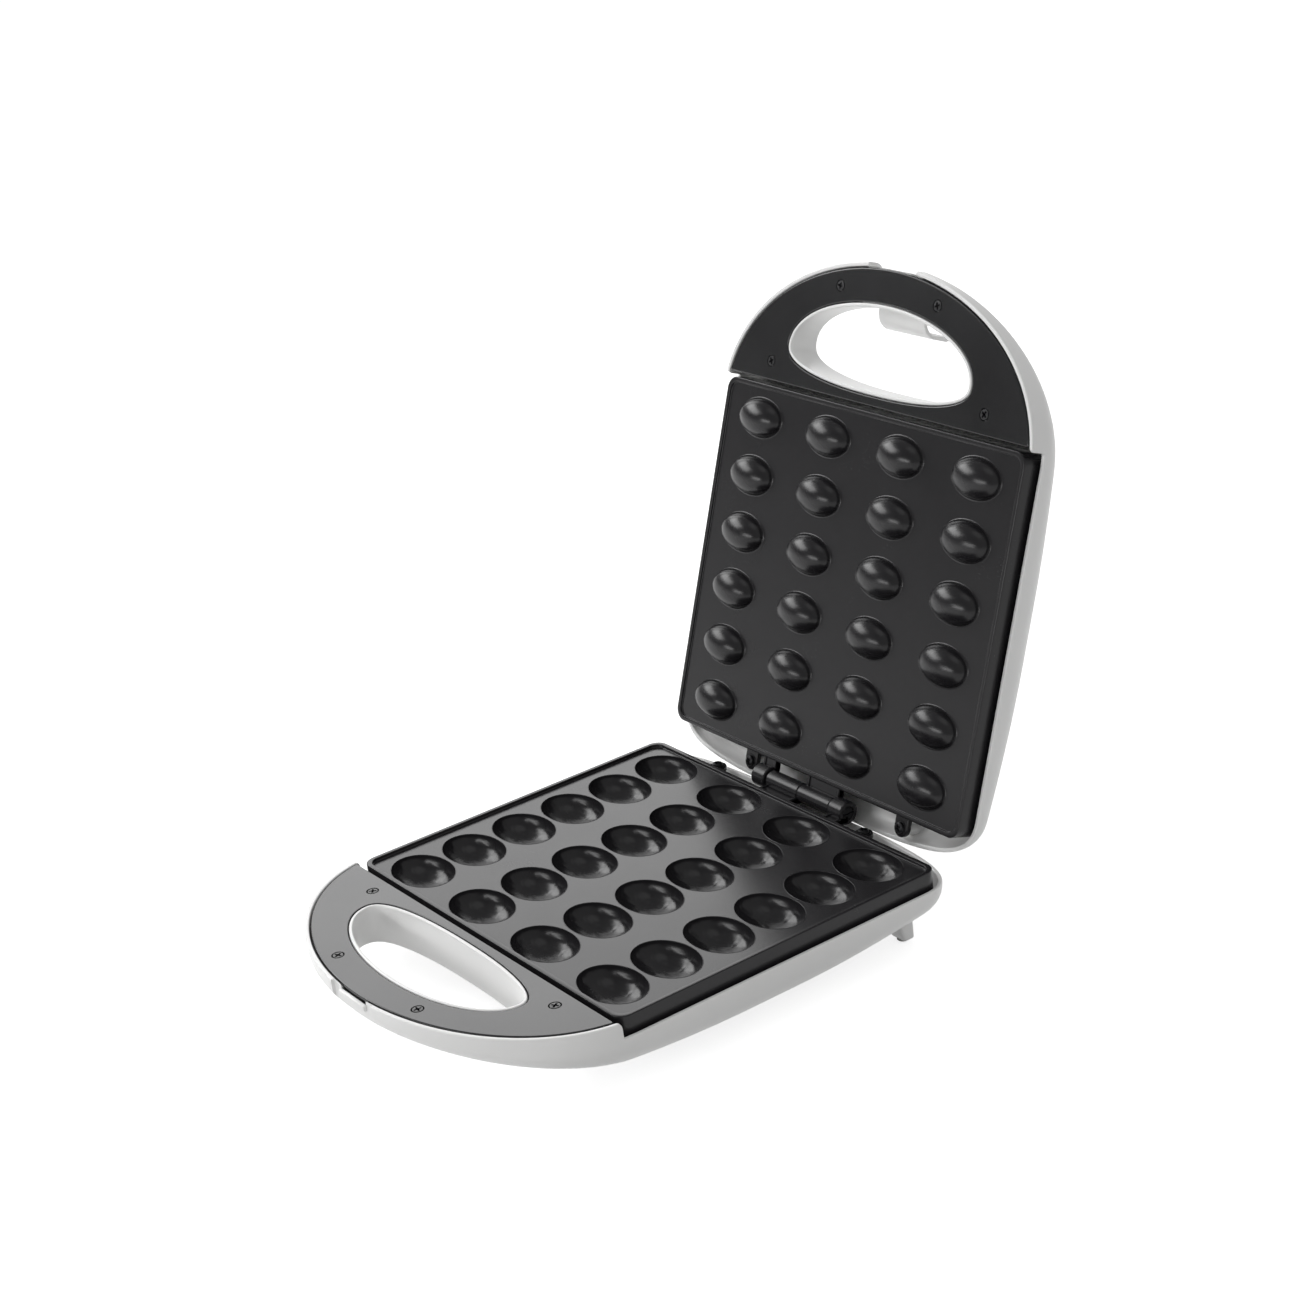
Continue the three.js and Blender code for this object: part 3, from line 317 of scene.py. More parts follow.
class Surface:
    """Collects points in millimetres and faces, and makes one Blender mesh of them."""

    def __init__(self) -> None:
        """Starts with nothing."""
        self.points: list[Point] = []
        self.faces: list[tuple[int, ...]] = []

    def ring(self, points: Iterable[Point]) -> list[int]:
        """Adds points and returns their numbers."""
        start = len(self.points)
        self.points.extend(points)
        return list(range(start, len(self.points)))

    def band(self, first: Sequence[int], second: Sequence[int]) -> None:
        """Joins two closed rings of equal count with four-sided faces."""
        count = len(first)
        for i in range(count):
            j = (i + 1) % count
            self.faces.append((first[i], first[j], second[j], second[i]))

    def rings(self, loops: Iterable[Sequence[Point]], start: Sequence[int] | None = None) -> list[int]:
        """Adds rings, each joined to the one before.

        Args:
            loops: the rings' points.
            start: numbers of a ring that the first one joins.

        Returns:
            The last ring's numbers.
        """
        last = start
        for loop in loops:
            new = self.ring(loop)
            if last is not None:
                self.band(last, new)
            last = new
        return list(last or [])

    def fan(self, ring: Sequence[int], tip: int) -> None:
        """Joins a closed ring to a point with three-sided faces."""
        for i in range(len(ring)):
            self.faces.append((ring[i], ring[(i + 1) % len(ring)], tip))

    def cap(self, ring: Sequence[int]) -> None:
        """Closes a ring with a fan about its middle."""
        middle = np.mean([self.points[i] for i in ring], axis=0)
        self.fan(ring, self.ring([tuple(float(c) for c in middle)])[0])

    def closed(self, loops: Sequence[Sequence[Point]]) -> "Surface":
        """Adds a body of rings with a fan at both ends."""
        first = self.ring(loops[0])
        last = self.rings(loops[1:], first)
        self.cap(first)
        self.cap(last)
        return self

    def fill(self, loops: Sequence[Sequence[int]], spacing: float = 0.0,
             height: Callable[[float, float], float] | None = None) -> None:
        """Fills the plan area inside the first loop and outside the others.

        Args:
            loops: rings that are already in the surface, the outer one first.
            spacing: distance between points added inside, or 0 for none.
            height: gives the z of an added point from its x and y.
        """
        numbers = [i for loop in loops for i in loop]
        flat = [Vector(self.points[i][:2]) for i in numbers]
        edges, start = [], 0
        for loop in loops:
            count = len(loop)
            edges += [(start + i, start + (i + 1) % count) for i in range(count)]
            start += count
        xy, ends = np.array(flat, float), np.array(edges)
        if spacing:
            low, high = xy.min(axis=0), xy.max(axis=0)
            grid_x, grid_y = (np.arange(low[i] + spacing / 2, high[i], spacing) for i in (0, 1))
            grid = np.array([(x, y) for y in grid_y for x in grid_x])
            clear = np.min(np.linalg.norm(grid[:, None] - xy[None], axis=2), axis=1) > spacing * 0.45
            grid = grid[clear & self._inside(grid, xy, ends)]
            numbers += self.ring((float(x), float(y), height(float(x), float(y))) for x, y in grid)
            flat += [Vector((x, y)) for x, y in grid]
        out, _, faces, origins, _, _ = delaunay_2d_cdt(flat, edges, [], 0, 1e-6)
        centres = np.array([np.mean([out[i] for i in face], axis=0) for face in faces])
        for face, keep in zip(faces, self._inside(centres, xy, ends)):
            if keep:
                self.faces.append(tuple(numbers[origins[i][0]] for i in face))

    @staticmethod
    def _inside(points: np.ndarray, corners: np.ndarray, edges: np.ndarray) -> np.ndarray:
        """Returns which points have an odd number of the edges to their right."""
        start, end = corners[edges[:, 0]], corners[edges[:, 1]]
        x, y = points[:, 0, None], points[:, 1, None]
        spans = (start[:, 1] > y) != (end[:, 1] > y)
        rise = np.where(end[:, 1] == start[:, 1], 1.0, end[:, 1] - start[:, 1])
        cross = start[:, 0] + (y - start[:, 1]) / rise * (end[:, 0] - start[:, 0])
        return np.sum(spans & (x < cross), axis=1) % 2 == 1

    def slab(self, outer: Sequence[Flat], low: float, high: float, radius: float,
             holes: Sequence[Sequence[Flat]] = (), steps: int = 3,
             matrix: Matrix | None = None) -> "Surface":
        """Adds a plate with rounded upper and lower edges.

        Args:
            outer: counter-clockwise outline.
            low: z of the underside.
            high: z of the upper side.
            radius: of the rounded edges.
            holes: counter-clockwise outlines of holes right through.
            steps: faces round each edge.
            matrix: moves the plate to its place.

        Returns:
            This surface.
        """
        start = len(self.points)
        held = [radius + HOLD] if radius >= HELD_EDGE else []
        levels = [(inset, low) for inset in held] + edge(0, low, radius, -radius, steps)[::-1]
        levels += edge(0, high, radius, radius, steps) + [(inset, high) for inset in held]
        tops, bottoms = [], []
        for loop, sign in [(outer, 1), *((hole, -1) for hole in holes)]:
            loops = [at_height(offset_loop(loop, sign * inset), z) for inset, z in levels]
            bottoms.append(self.ring(loops[0]))
            tops.append(self.rings(loops[1:], bottoms[-1]))
        self.fill(tops)
        self.fill(bottoms)
        if matrix:
            self.points[start:] = [tuple(matrix @ Vector(p)) for p in self.points[start:]]
        return self

    def turned(self, profile: Sequence[Flat], segments: int,
               matrix: Matrix = Matrix.Identity(4)) -> "Surface":
        """Adds a body turned about Z, closed on its axis where the profile's ends are on it.

        Args:
            profile: radius and height of each point, from one end to the other.
            segments: faces round the axis.
            matrix: moves the body from the axis to its place.

        Returns:
            This surface.
        """
        rings = []
        for radius, height in profile:
            loop = circle(radius, segments) if radius else [(0, 0)]
            rings.append(self.ring(tuple(matrix @ Vector((x, y, height))) for x, y in loop))
        for first, second in zip(rings, rings[1:]):
            if len(first) == len(second):
                self.band(first, second)
            else:
                tip, loop = sorted((first, second), key=len)
                self.fan(loop, tip[0])
        return self

    def make(self, name: str, matrix: Matrix, degrees: float = CREASE) -> bpy.types.Object:
        """Makes the Blender object, with its place in its mesh.

        Args:
            name: the object's name.
            matrix: takes the half frame's millimetres to the machine's metres.
            degrees: edges sharper than this stay sharp.

        Returns:
            The object, linked to the scene.
        """
        mesh = bpy.data.meshes.new(name)
        mesh.from_pydata(self.points, [], self.faces)
        work = bmesh.new()
        work.from_mesh(mesh)
        bmesh.ops.remove_doubles(work, verts=work.verts, dist=1e-4)
        bmesh.ops.dissolve_degenerate(work, edges=work.edges, dist=1e-5)
        bmesh.ops.recalc_face_normals(work, faces=work.faces)
        work.to_mesh(mesh)
        work.free()
        mesh.transform(matrix)
        made = bpy.data.objects.new(name, mesh)
        bpy.context.scene.collection.objects.link(made)
        smooth(made, degrees)
        return made


def bevelled(bore: float, radius: float, low: float, high: float, bevel: float) -> list[Flat]:
    """Returns a tube's profile with bevelled outer edges, or a pin's when the bore is 0."""
    profile = [(bore, low), (radius - bevel, low), (radius, low + bevel), (radius, high - bevel),
               (radius - bevel, high), (bore, high)]
    return profile + profile[:1] if bore else profile


def smooth(piece: bpy.types.Object, degrees: float) -> None:
    """Shades a piece smooth, but for edges sharper than the angle."""
    piece.data.shade_smooth()
    piece.data.set_sharp_from_angle(angle=math.radians(degrees))


def combine(piece: bpy.types.Object, act: Act, forms: Sequence[Surface], matrix: Matrix,
            degrees: float = CREASE) -> None:
    """Joins closed forms to a piece as one moulding, or cuts them out of it.

    Args:
        piece: the object that is changed.
        act: whether they are joined or cut.
        forms: the closed forms.
        matrix: takes the forms to the piece's place.
        degrees: edges sharper than this stay sharp.
    """
    tools = [form.make("tool", matrix) for form in forms]
    for tool in tools:
        modifier = piece.modifiers.new("combine", "BOOLEAN")
        modifier.operation = act.value
        modifier.solver = "EXACT"
        modifier.object = tool
    graph = bpy.context.evaluated_depsgraph_get()
    old, new = piece.data, bpy.data.meshes.new_from_object(piece.evaluated_get(graph))
    piece.modifiers.clear()
    piece.data = new
    bpy.data.meshes.remove(old)
    for tool in tools:
        bpy.data.objects.remove(tool)
    smooth(piece, degrees)


@dataclass(frozen=True)
class Station:
    """A place on a half's outline: its point, inward normal and rim height."""

    x: float
    y: float
    inward_x: float
    inward_y: float
    rim: float

    def inside(self, inset: float) -> Flat:
        """Returns the point that lies inwards of the outline by an inset."""
        return self.x + self.inward_x * inset, self.y + self.inward_y * inset


@dataclass(frozen=True)
class Plan:
    """The sizes that both halves share, in millimetres."""

    columns: int = 4
    rows: int = 6
    column_pitch: float = 57.0
    row_pitch: float = 32.0
    plate_half_width: float = 117.2
    plate_half_depth: float = 98.7
    hinge_setback: float = 9.9
    body_half_width: float = 121.2
    handle_arc_setback: float = 7.5
    handle_reach: float = 84.1
    opening_setback: float = 24.4
    opening_half_width: float = 69.5
    opening_front: float = 28.8
    opening_rear: float = 13.9
    opening_rear_power: float = 2.35
    opening_wall: float = 2.0
    mating_gap: float = 0.4
    rim_drop: float = 9.2
    step_setback: float = 1.0
    step_radius: float = 2.5
    step_draft: float = 0.15
    step_fillet: float = 1.2
    rear_wall_setback: float = 7.7
    rear_corner_setback: float = 3.7
    rear_corner_width: float = 31.2
    rear_corner_run: float = 10.7
    corner_side_handle: float = 12.0
    corner_rear_handle: float = 24.5
    corner_rear_drop: float = 3.8
    trim_plate_gap: float = 2.8
    wall: float = 2.3
    fit: float = 0.3
    front_screw_x: float = 37.6
    rear_screw_inset: float = 37.5
    rear_screw_setback: float = 10.3
    left_lug_x: float = 72.0
    right_lug_x: float = 52.0
    lug_reach: float = 7.0

    @property
    def hinge_y(self) -> float:
        """Y of the hinge axis."""
        return self.plate_half_depth + self.hinge_setback

    @property
    def arc_y(self) -> float:
        """Y where the handle's arc meets the straight sides."""
        return self.handle_arc_setback - self.plate_half_depth

    @property
    def front_y(self) -> float:
        """Y of the handle's tip."""
        return self.arc_y - self.handle_reach

    @property
    def rear_y(self) -> float:
        """Y of the rear wall's middle."""
        return self.hinge_y + self.rear_wall_setback

    @property
    def trim_rear_y(self) -> float:
        """Y of the handle trim's straight edge."""
        return -self.plate_half_depth - self.trim_plate_gap

    @property
    def opening_y(self) -> float:
        """Y of the finger opening's widest line."""
        return -self.plate_half_depth - self.opening_setback

    def side_x(self, y: float) -> float:
        """Half width of the handle or the straight sides at a Y."""
        behind_tip = max(self.arc_y - y, 0) / self.handle_reach
        return self.body_half_width * math.sqrt(max(1 - behind_tip ** 2, 0))

    def _right_side(self) -> list[Point]:
        """Returns x, y and rim height from the tip round the right side to the rear middle."""
        top, foot = -self.mating_gap, -self.rim_drop
        step_y = -self.plate_half_depth - self.step_setback
        last = -math.asin((self.arc_y - step_y + self.step_radius) / self.handle_reach)
        places = [(self.body_half_width * c, self.arc_y + self.handle_reach * s, top)
                  for c, s in arc(-QUARTER, last, 56)[:-1]]
        straight = edge(step_y, top, -self.step_radius, self.step_radius, 6)[::-1]
        straight += edge(step_y + self.step_draft, foot, self.step_fillet, -self.step_fillet, 5)
        start_y, end_y = straight[-1][0], self.plate_half_depth - self.rear_corner_run
        straight += [(lerp(start_y, end_y, i / 30), foot) for i in range(1, 31)]
        places += [(self.side_x(y), y, rim) for y, rim in straight]
        side = Vector((self.body_half_width, end_y))
        corner = Vector((self.body_half_width - self.rear_corner_width,
                         self.hinge_y + self.rear_corner_setback))
        side_handle = side + Vector((0, self.corner_side_handle))
        corner_handle = corner + Vector((self.corner_rear_handle, -self.corner_rear_drop))
        slope = self.corner_rear_handle / self.corner_rear_drop
        bend = Vector((corner.x - (self.rear_y - corner.y) * slope, self.rear_y))
        middle = Vector((0, self.rear_y))
        bends = []
        for t in (i / 20 for i in range(1, 21)):
            bends.append(side * (1 - t) ** 3 + side_handle * 3 * t * (1 - t) ** 2
                         + corner_handle * 3 * t * t * (1 - t) + corner * t ** 3)
        for t in (i / 24 for i in range(1, 25)):
            bends.append(corner * (1 - t) ** 2 + bend * 2 * t * (1 - t) + middle * t * t)
        return places + [(p.x, p.y, foot) for p in bends]

    def outline(self) -> list[Station]:
        """Returns the outline's stations, counter-clockwise from the handle's tip."""
        side = self._right_side()
        right = []
        for i, (x, y, rim) in enumerate(side):
            normal = Vector((0, 1 if i == 0 else -1))
            if 0 < i < len(side) - 1:
                along = Vector(side[i + 1][:2]) - Vector(side[i - 1][:2])
                normal = Vector((-along.y, along.x)).normalized()
            right.append(Station(x, y, normal.x, normal.y, rim))
        left = [Station(-s.x, s.y, -s.inward_x, s.inward_y, s.rim) for s in reversed(right[1:-1])]
        return right + left

    def opening(self, growth: float) -> list[Flat]:
        """Returns the finger opening's outline, grown outwards."""
        points = []
        for across, along in circle(1.0, 144):
            power = 2 / self.opening_rear_power if along > 0 else 1.0
            depth = (self.opening_rear if along > 0 else self.opening_front) + growth
            x = (self.opening_half_width + growth) * math.copysign(abs(across) ** power, across)
            y = depth * math.copysign(abs(along) ** power, along)
            points.append((x, self.opening_y + y))
        return points

    def wells(self) -> list[Flat]:
        """Returns the middles of the baking places."""
        return [((c - (self.columns - 1) / 2) * self.column_pitch,
                 (r - (self.rows - 1) / 2) * self.row_pitch)
                for r in range(self.rows) for c in range(self.columns)]

    def lugs(self) -> list[Flat]:
        """Returns the places of the plate's screw lugs."""
        y = self.plate_half_depth + self.lug_reach
        return [(-self.left_lug_x, y), (self.right_lug_x, y)]


@dataclass(frozen=True)
class HalfSizes:
    """What differs between the base and the lid, in millimetres."""

    depth: float
    front_depth: float
    lip_height: float


PLAN = Plan()
OUTLINE = PLAN.outline()
SIZES = {Half.BASE: HalfSizes(33.0, 13.0, 1.8), Half.LID: HalfSizes(30.8, 12.0, 1.1)}
OPEN_ANGLE = math.radians(frame["joints"][0]["range_deg"][1])
HINGE = Vector(frame["joints"][0]["pos_m"])


def half_matrix(half: Half) -> Matrix:
    """Returns the matrix from a half's millimetres to the open machine's metres."""
    to_hinge = Matrix.Translation((0, -PLAN.hinge_y * MM, 0))
    if half is Half.LID:
        to_hinge = Matrix.Rotation(-OPEN_ANGLE, 4, "X") @ to_hinge @ Matrix.Rotation(math.pi, 4, "Y")
    return Matrix.Translation(HINGE) @ to_hinge @ Matrix.Scale(MM, 4)


def dress(piece: bpy.types.Object, body: str, finish: Finish,
          replaced: Sequence[str] = ()) -> None:
    """Gives a piece its finish, and tells the frame what it rides on and stands for.

    Args:
        piece: the finished object.
        body: the body that carries it.
        finish: its surface.
        replaced: the nodes that it stands for.
    """
    piece.data.materials.clear()
    piece.data.materials.append(finish.make())
    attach(piece, body)
    if replaced:
        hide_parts(*replaced)
    log.info("%s rides on %s", piece.name, body)


@dataclass
class Shell:
    """A half's moulded white shell, in millimetres."""

    half: Half
    front_rise_run: float = 155.0
    rear_drop: float = 10.0
    rear_drop_start: float = 10.0
    rear_drop_run: float = 96.0
    edge_share: float = 0.55
    stop_clearance: float = math.radians(1.5)
    rim_edge: float = 0.65
    flare: float = 3.0
    outer_mesh: float = 7.0
    inner_mesh: float = 9.0
    slot_half_width: float = 18.5
    slot_depth: float = 2.7
    slot_reach: float = 20.0
    slot_overruns: Flat = (12.0, 6.0)
    block_overhang: float = 2.5
    block_half_thickness: float = 1.65
    block_setback: float = 0.85
    block_lift: float = 4.0
    trim_bottom: float = 2.7
    boss: Flat = (4.0, -8.3)
    post: Flat = (1.7, -7.0)
    post_places: tuple[Flat, ...] = ((-73.4, 102.4), (100.0, 99.5))

    def depth_at(self, y: float) -> float:
        """Depth of the shell below the mating plane at a station's Y."""
        sizes = SIZES[self.half]
        rise = min(max((y - PLAN.front_y) / self.front_rise_run, 0), 1)
        fall = max((y - self.rear_drop_start) / self.rear_drop_run, 0)
        front = lerp(sizes.front_depth, sizes.depth, math.sin(rise * QUARTER))
        return front - self.rear_drop * (1 - math.cos(fall * QUARTER))

    def _stop_plane(self, y: float) -> float:
        """Height that the rear rim's stop face allows at a Y."""
        return -max(y - PLAN.hinge_y, 0) * math.tan(OPEN_ANGLE / 2 + self.stop_clearance)

    def _profile(self, station: Station) -> list[Point]:
        """Returns the wall's section at a station, from the outer floor over the rim to the inner."""
        depth, wall, soft, rim = self.depth_at(station.y), PLAN.wall, self.rim_edge, station.rim
        radius = depth * self.edge_share
        side, top = radius - depth, rim - soft
        section = edge(0, -depth, radius, -radius, 10)[::-1]
        section += [(0, lerp(side, max(top, side), i / 3)) for i in (1, 2, 3)]
        section += edge(0, rim, soft, soft)[1:] + edge(wall, rim, -soft, soft)[::-1]
        section += [(wall, lerp(top, min(side, top), i / 2)) for i in (1, 2)]
        section += edge(wall, wall - depth, radius - wall, wall - radius, 6)[1:]
        points = []
        for inset, z in section:
            x, y = station.inside(inset)
            points.append((x, y, min(z, rim, self._stop_plane(y))))
        return points

    def outer_floor(self) -> Callable[[float, float], float]:
        """Returns the height of the outer floor as a function of x and y."""
        ring = np.array([self._profile(s)[0] for s in OUTLINE[:len(OUTLINE) // 2 + 1]])
        ys = np.maximum.accumulate(ring[:, 1])
        return lambda x, y: float(np.interp(y, ys, ring[:, 2]))

    def body(self) -> Surface:
        """Builds the closed shell with its finger opening."""
        surface, floor = Surface(), self.outer_floor()
        soft, top, thick = self.rim_edge, -PLAN.mating_gap, PLAN.opening_wall
        levels = list(zip(*(self._profile(station) for station in OUTLINE)))
        outer = surface.ring(levels[0])
        inner = surface.rings(levels[1:], outer)
        flare = edge(0, 0, self.flare, -self.flare, 5)[::-1]
        loops = [[(x, y, floor(x, y) + lift) for x, y in PLAN.opening(growth)] for growth, lift in flare]
        rim = [(0.0, top - soft * 4)] + edge(0, top, soft, soft) + edge(thick, top, -soft, soft)[::-1]
        loops += [at_height(PLAN.opening(growth), z) for growth, z in rim]
        loops.append([(x, y, floor(x, y) + PLAN.wall) for x, y in PLAN.opening(thick)])
        outer_mouth = surface.ring(loops[0])
        inner_mouth = surface.rings(loops[1:], outer_mouth)
        surface.fill([outer, outer_mouth], self.outer_mesh, floor)
        surface.fill([inner, inner_mouth], self.inner_mesh, lambda x, y: floor(x, y) + PLAN.wall)
        return surface

    def slot_tool(self) -> Surface:
        """Builds the cutter of the latch slot at the handle's tip."""
        below, above = self.slot_overruns
        y = PLAN.front_y + self.slot_depth - self.slot_reach
        return Surface().slab(rounded_rectangle(self.slot_half_width, self.slot_reach, 0.8, y=y),
                              -SIZES[self.half].front_depth - below, above, 0.3)

    def slot_block(self) -> Surface:
        """Builds the solid block behind the latch slot."""
        loop = rounded_rectangle(self.slot_half_width + self.block_overhang, self.block_half_thickness, 0.5,
                                 y=PLAN.front_y + self.slot_depth + self.block_setback)
        return Surface().slab(loop, -SIZES[self.half].front_depth + self.block_lift,
                              -self.trim_bottom - PLAN.fit, 0.2)

    def posts(self) -> list[Surface]:
        """Builds the screw bosses under the plate's lugs and two small moulding posts."""
        made, floor = [], self.outer_floor()
        places = [(place, self.boss) for place in PLAN.lugs()]
        places += [(place, self.post) for place in self.post_places]
        for (x, y), (r, top) in places:
            low = floor(0, y) + PLAN.wall / 2
            profile = [(0, low), (r * 1.08, low), (r, top - 0.4), (r - 0.4, top), (0, top)]
            made.append(Surface().turned(profile, 32, Matrix.Translation((x, y, 0))))
        return made


@dataclass
class BaseFittings:
    """What the base's shell has and the lid's has not: legs, catch and gland seat, in millimetres."""

    stand_height: float = 40.0
    pad_thickness: float = 1.2
    rear_leg_x: float = 103.0
    rear_leg_end_y: float = 88.0
    rear_leg_half_length: float = 5.5
    rear_leg_top_depth: float = 11.5
    rear_leg_foot_depth: float = 7.0
    rear_leg_corner: float = 1.8
    front_leg_x: float = 80.0
    front_leg_y: float = -62.0
    front_leg_radius: float = 6.5
    root_z: float = -20.0
    front_foot_radius: float = 5.4
    rear_foot_radius: float = 3.2
    catch_half_width: float = 12.0
    catch_section: tuple[Flat, ...] = ((-174.5, -4.6), (-174.4, -5.6), (-173.7, -6.2), (-170.2, -6.2),
                                       (-170.2, -3.0), (-173.5, -3.0), (-174.3, -3.5))
    gland_x: float = -60.0
    gland_z: float = -18.5
    gland_pad_radius: float = 6.5
    gland_hole_radius: float = 3.7

    @property
    def bottom(self) -> float:
        """Height of the legs' ends."""
        return PLAN.fit + self.pad_thickness - self.stand_height

    @property
    def gland_matrix(self) -> Matrix:
        """Matrix from an upright gland to its place in the rear wall."""
        return Matrix.Translation((self.gland_x, PLAN.rear_y, self.gland_z)) @ ALONG_Y

    def rear_leg(self, side: int) -> Surface:
        """Builds a rear leg, which tapers to its foot and has round edges."""
        loops = []
        for share, inset in [(0, 0.0), (0.35, 0.0), (0.7, 0.0), (0.96, 0.0), (0.985, 0.25), (1, 0.9)]:
            half_y = lerp(self.rear_leg_top_depth, self.rear_leg_foot_depth, share) / 2
            loop = rounded_rectangle(self.rear_leg_half_length - inset, half_y - inset,
                                     self.rear_leg_corner - inset * 0.6, 6,
                                     side * self.rear_leg_x, self.rear_leg_end_y - half_y)
            loops.append(at_height(loop, lerp(self.root_z, self.bottom, share)))
        return Surface().closed(loops)

    def front_leg(self, side: int) -> Surface:
        """Builds a round front leg."""
        r, low, high = self.front_leg_radius, self.bottom, self.root_z
        profile = [(0, low), (r - 0.9, low), (r - 0.25, low + 0.25), (r, low + 0.9), (r + 0.4, high),
                   (0, high)]
        place = Matrix.Translation((side * self.front_leg_x, self.front_leg_y, 0))
        return Surface().turned(profile, 40, place)

    def catch(self) -> Surface:
        """Builds the catch, whose front edge is rounded so that the latch slips over it."""
        half = self.catch_half_width
        return Surface().slab(self.catch_section, -half, half, 0.3, matrix=ALONG_X)

    def gland_pad(self) -> Surface:
        """Builds the round seat of the cord's gland in the rear wall."""
        r = self.gland_pad_radius
        profile = [(0, -6.0), (r, -6.0), (r, -0.5), (r - 0.5, 0.0), (0, 0.0)]
        return Surface().turned(profile, 40, self.gland_matrix)

    def gland_hole(self) -> Surface:
        """Builds the cutter of the gland's hole."""
        r = self.gland_hole_radius
        return Surface().turned([(0, -9.0), (r, -9.0), (r, 3.0), (0, 3.0)], 40, self.gland_matrix)

    def gland(self) -> Surface:
        """Builds the cord's rubber gland with its flange."""
        return Surface().turned([(2.4, -6.0), (3.1, -6.0), (3.4, -5.7), (3.4, 0.3), (4.6, 0.3), (4.6, 1.3),
                                 (4.2, 1.8), (2.9, 1.8), (2.4, 1.4), (2.4, -6.0)], 44, self.gland_matrix)

    def feet(self) -> list[tuple[str, float, float, float]]:
        """Returns name, x, y and radius of each foot."""
        rear_y = self.rear_leg_end_y - self.rear_leg_foot_depth / 2
        rows = (("front", self.front_leg_x, self.front_leg_y, self.front_foot_radius),
                ("rear", self.rear_leg_x, rear_y, self.rear_foot_radius))
        return [(f"foot_{row}_{side}", sign * x, y, radius)
                for row, x, y, radius in rows for side, sign in (("left", -1), ("right", 1))]

    def foot(self, r: float, x: float, y: float) -> Surface:
        """Builds a rubber foot of radius r with a dished sole and a stem."""
        top = self.pad_thickness
        profile = [(0, 0.25), (r * 0.55, 0.25), (r * 0.7, 0.0), (r - 0.35, 0.0), (r, 0.35), (r, top - 0.2),
                   (r - 0.2, top), (2.0, top), (2.0, top + 3.6), (1.6, top + 4.0), (0, top + 4.0)]
        return Surface().turned(profile, 36, Matrix.Translation((x, y, -self.stand_height)))


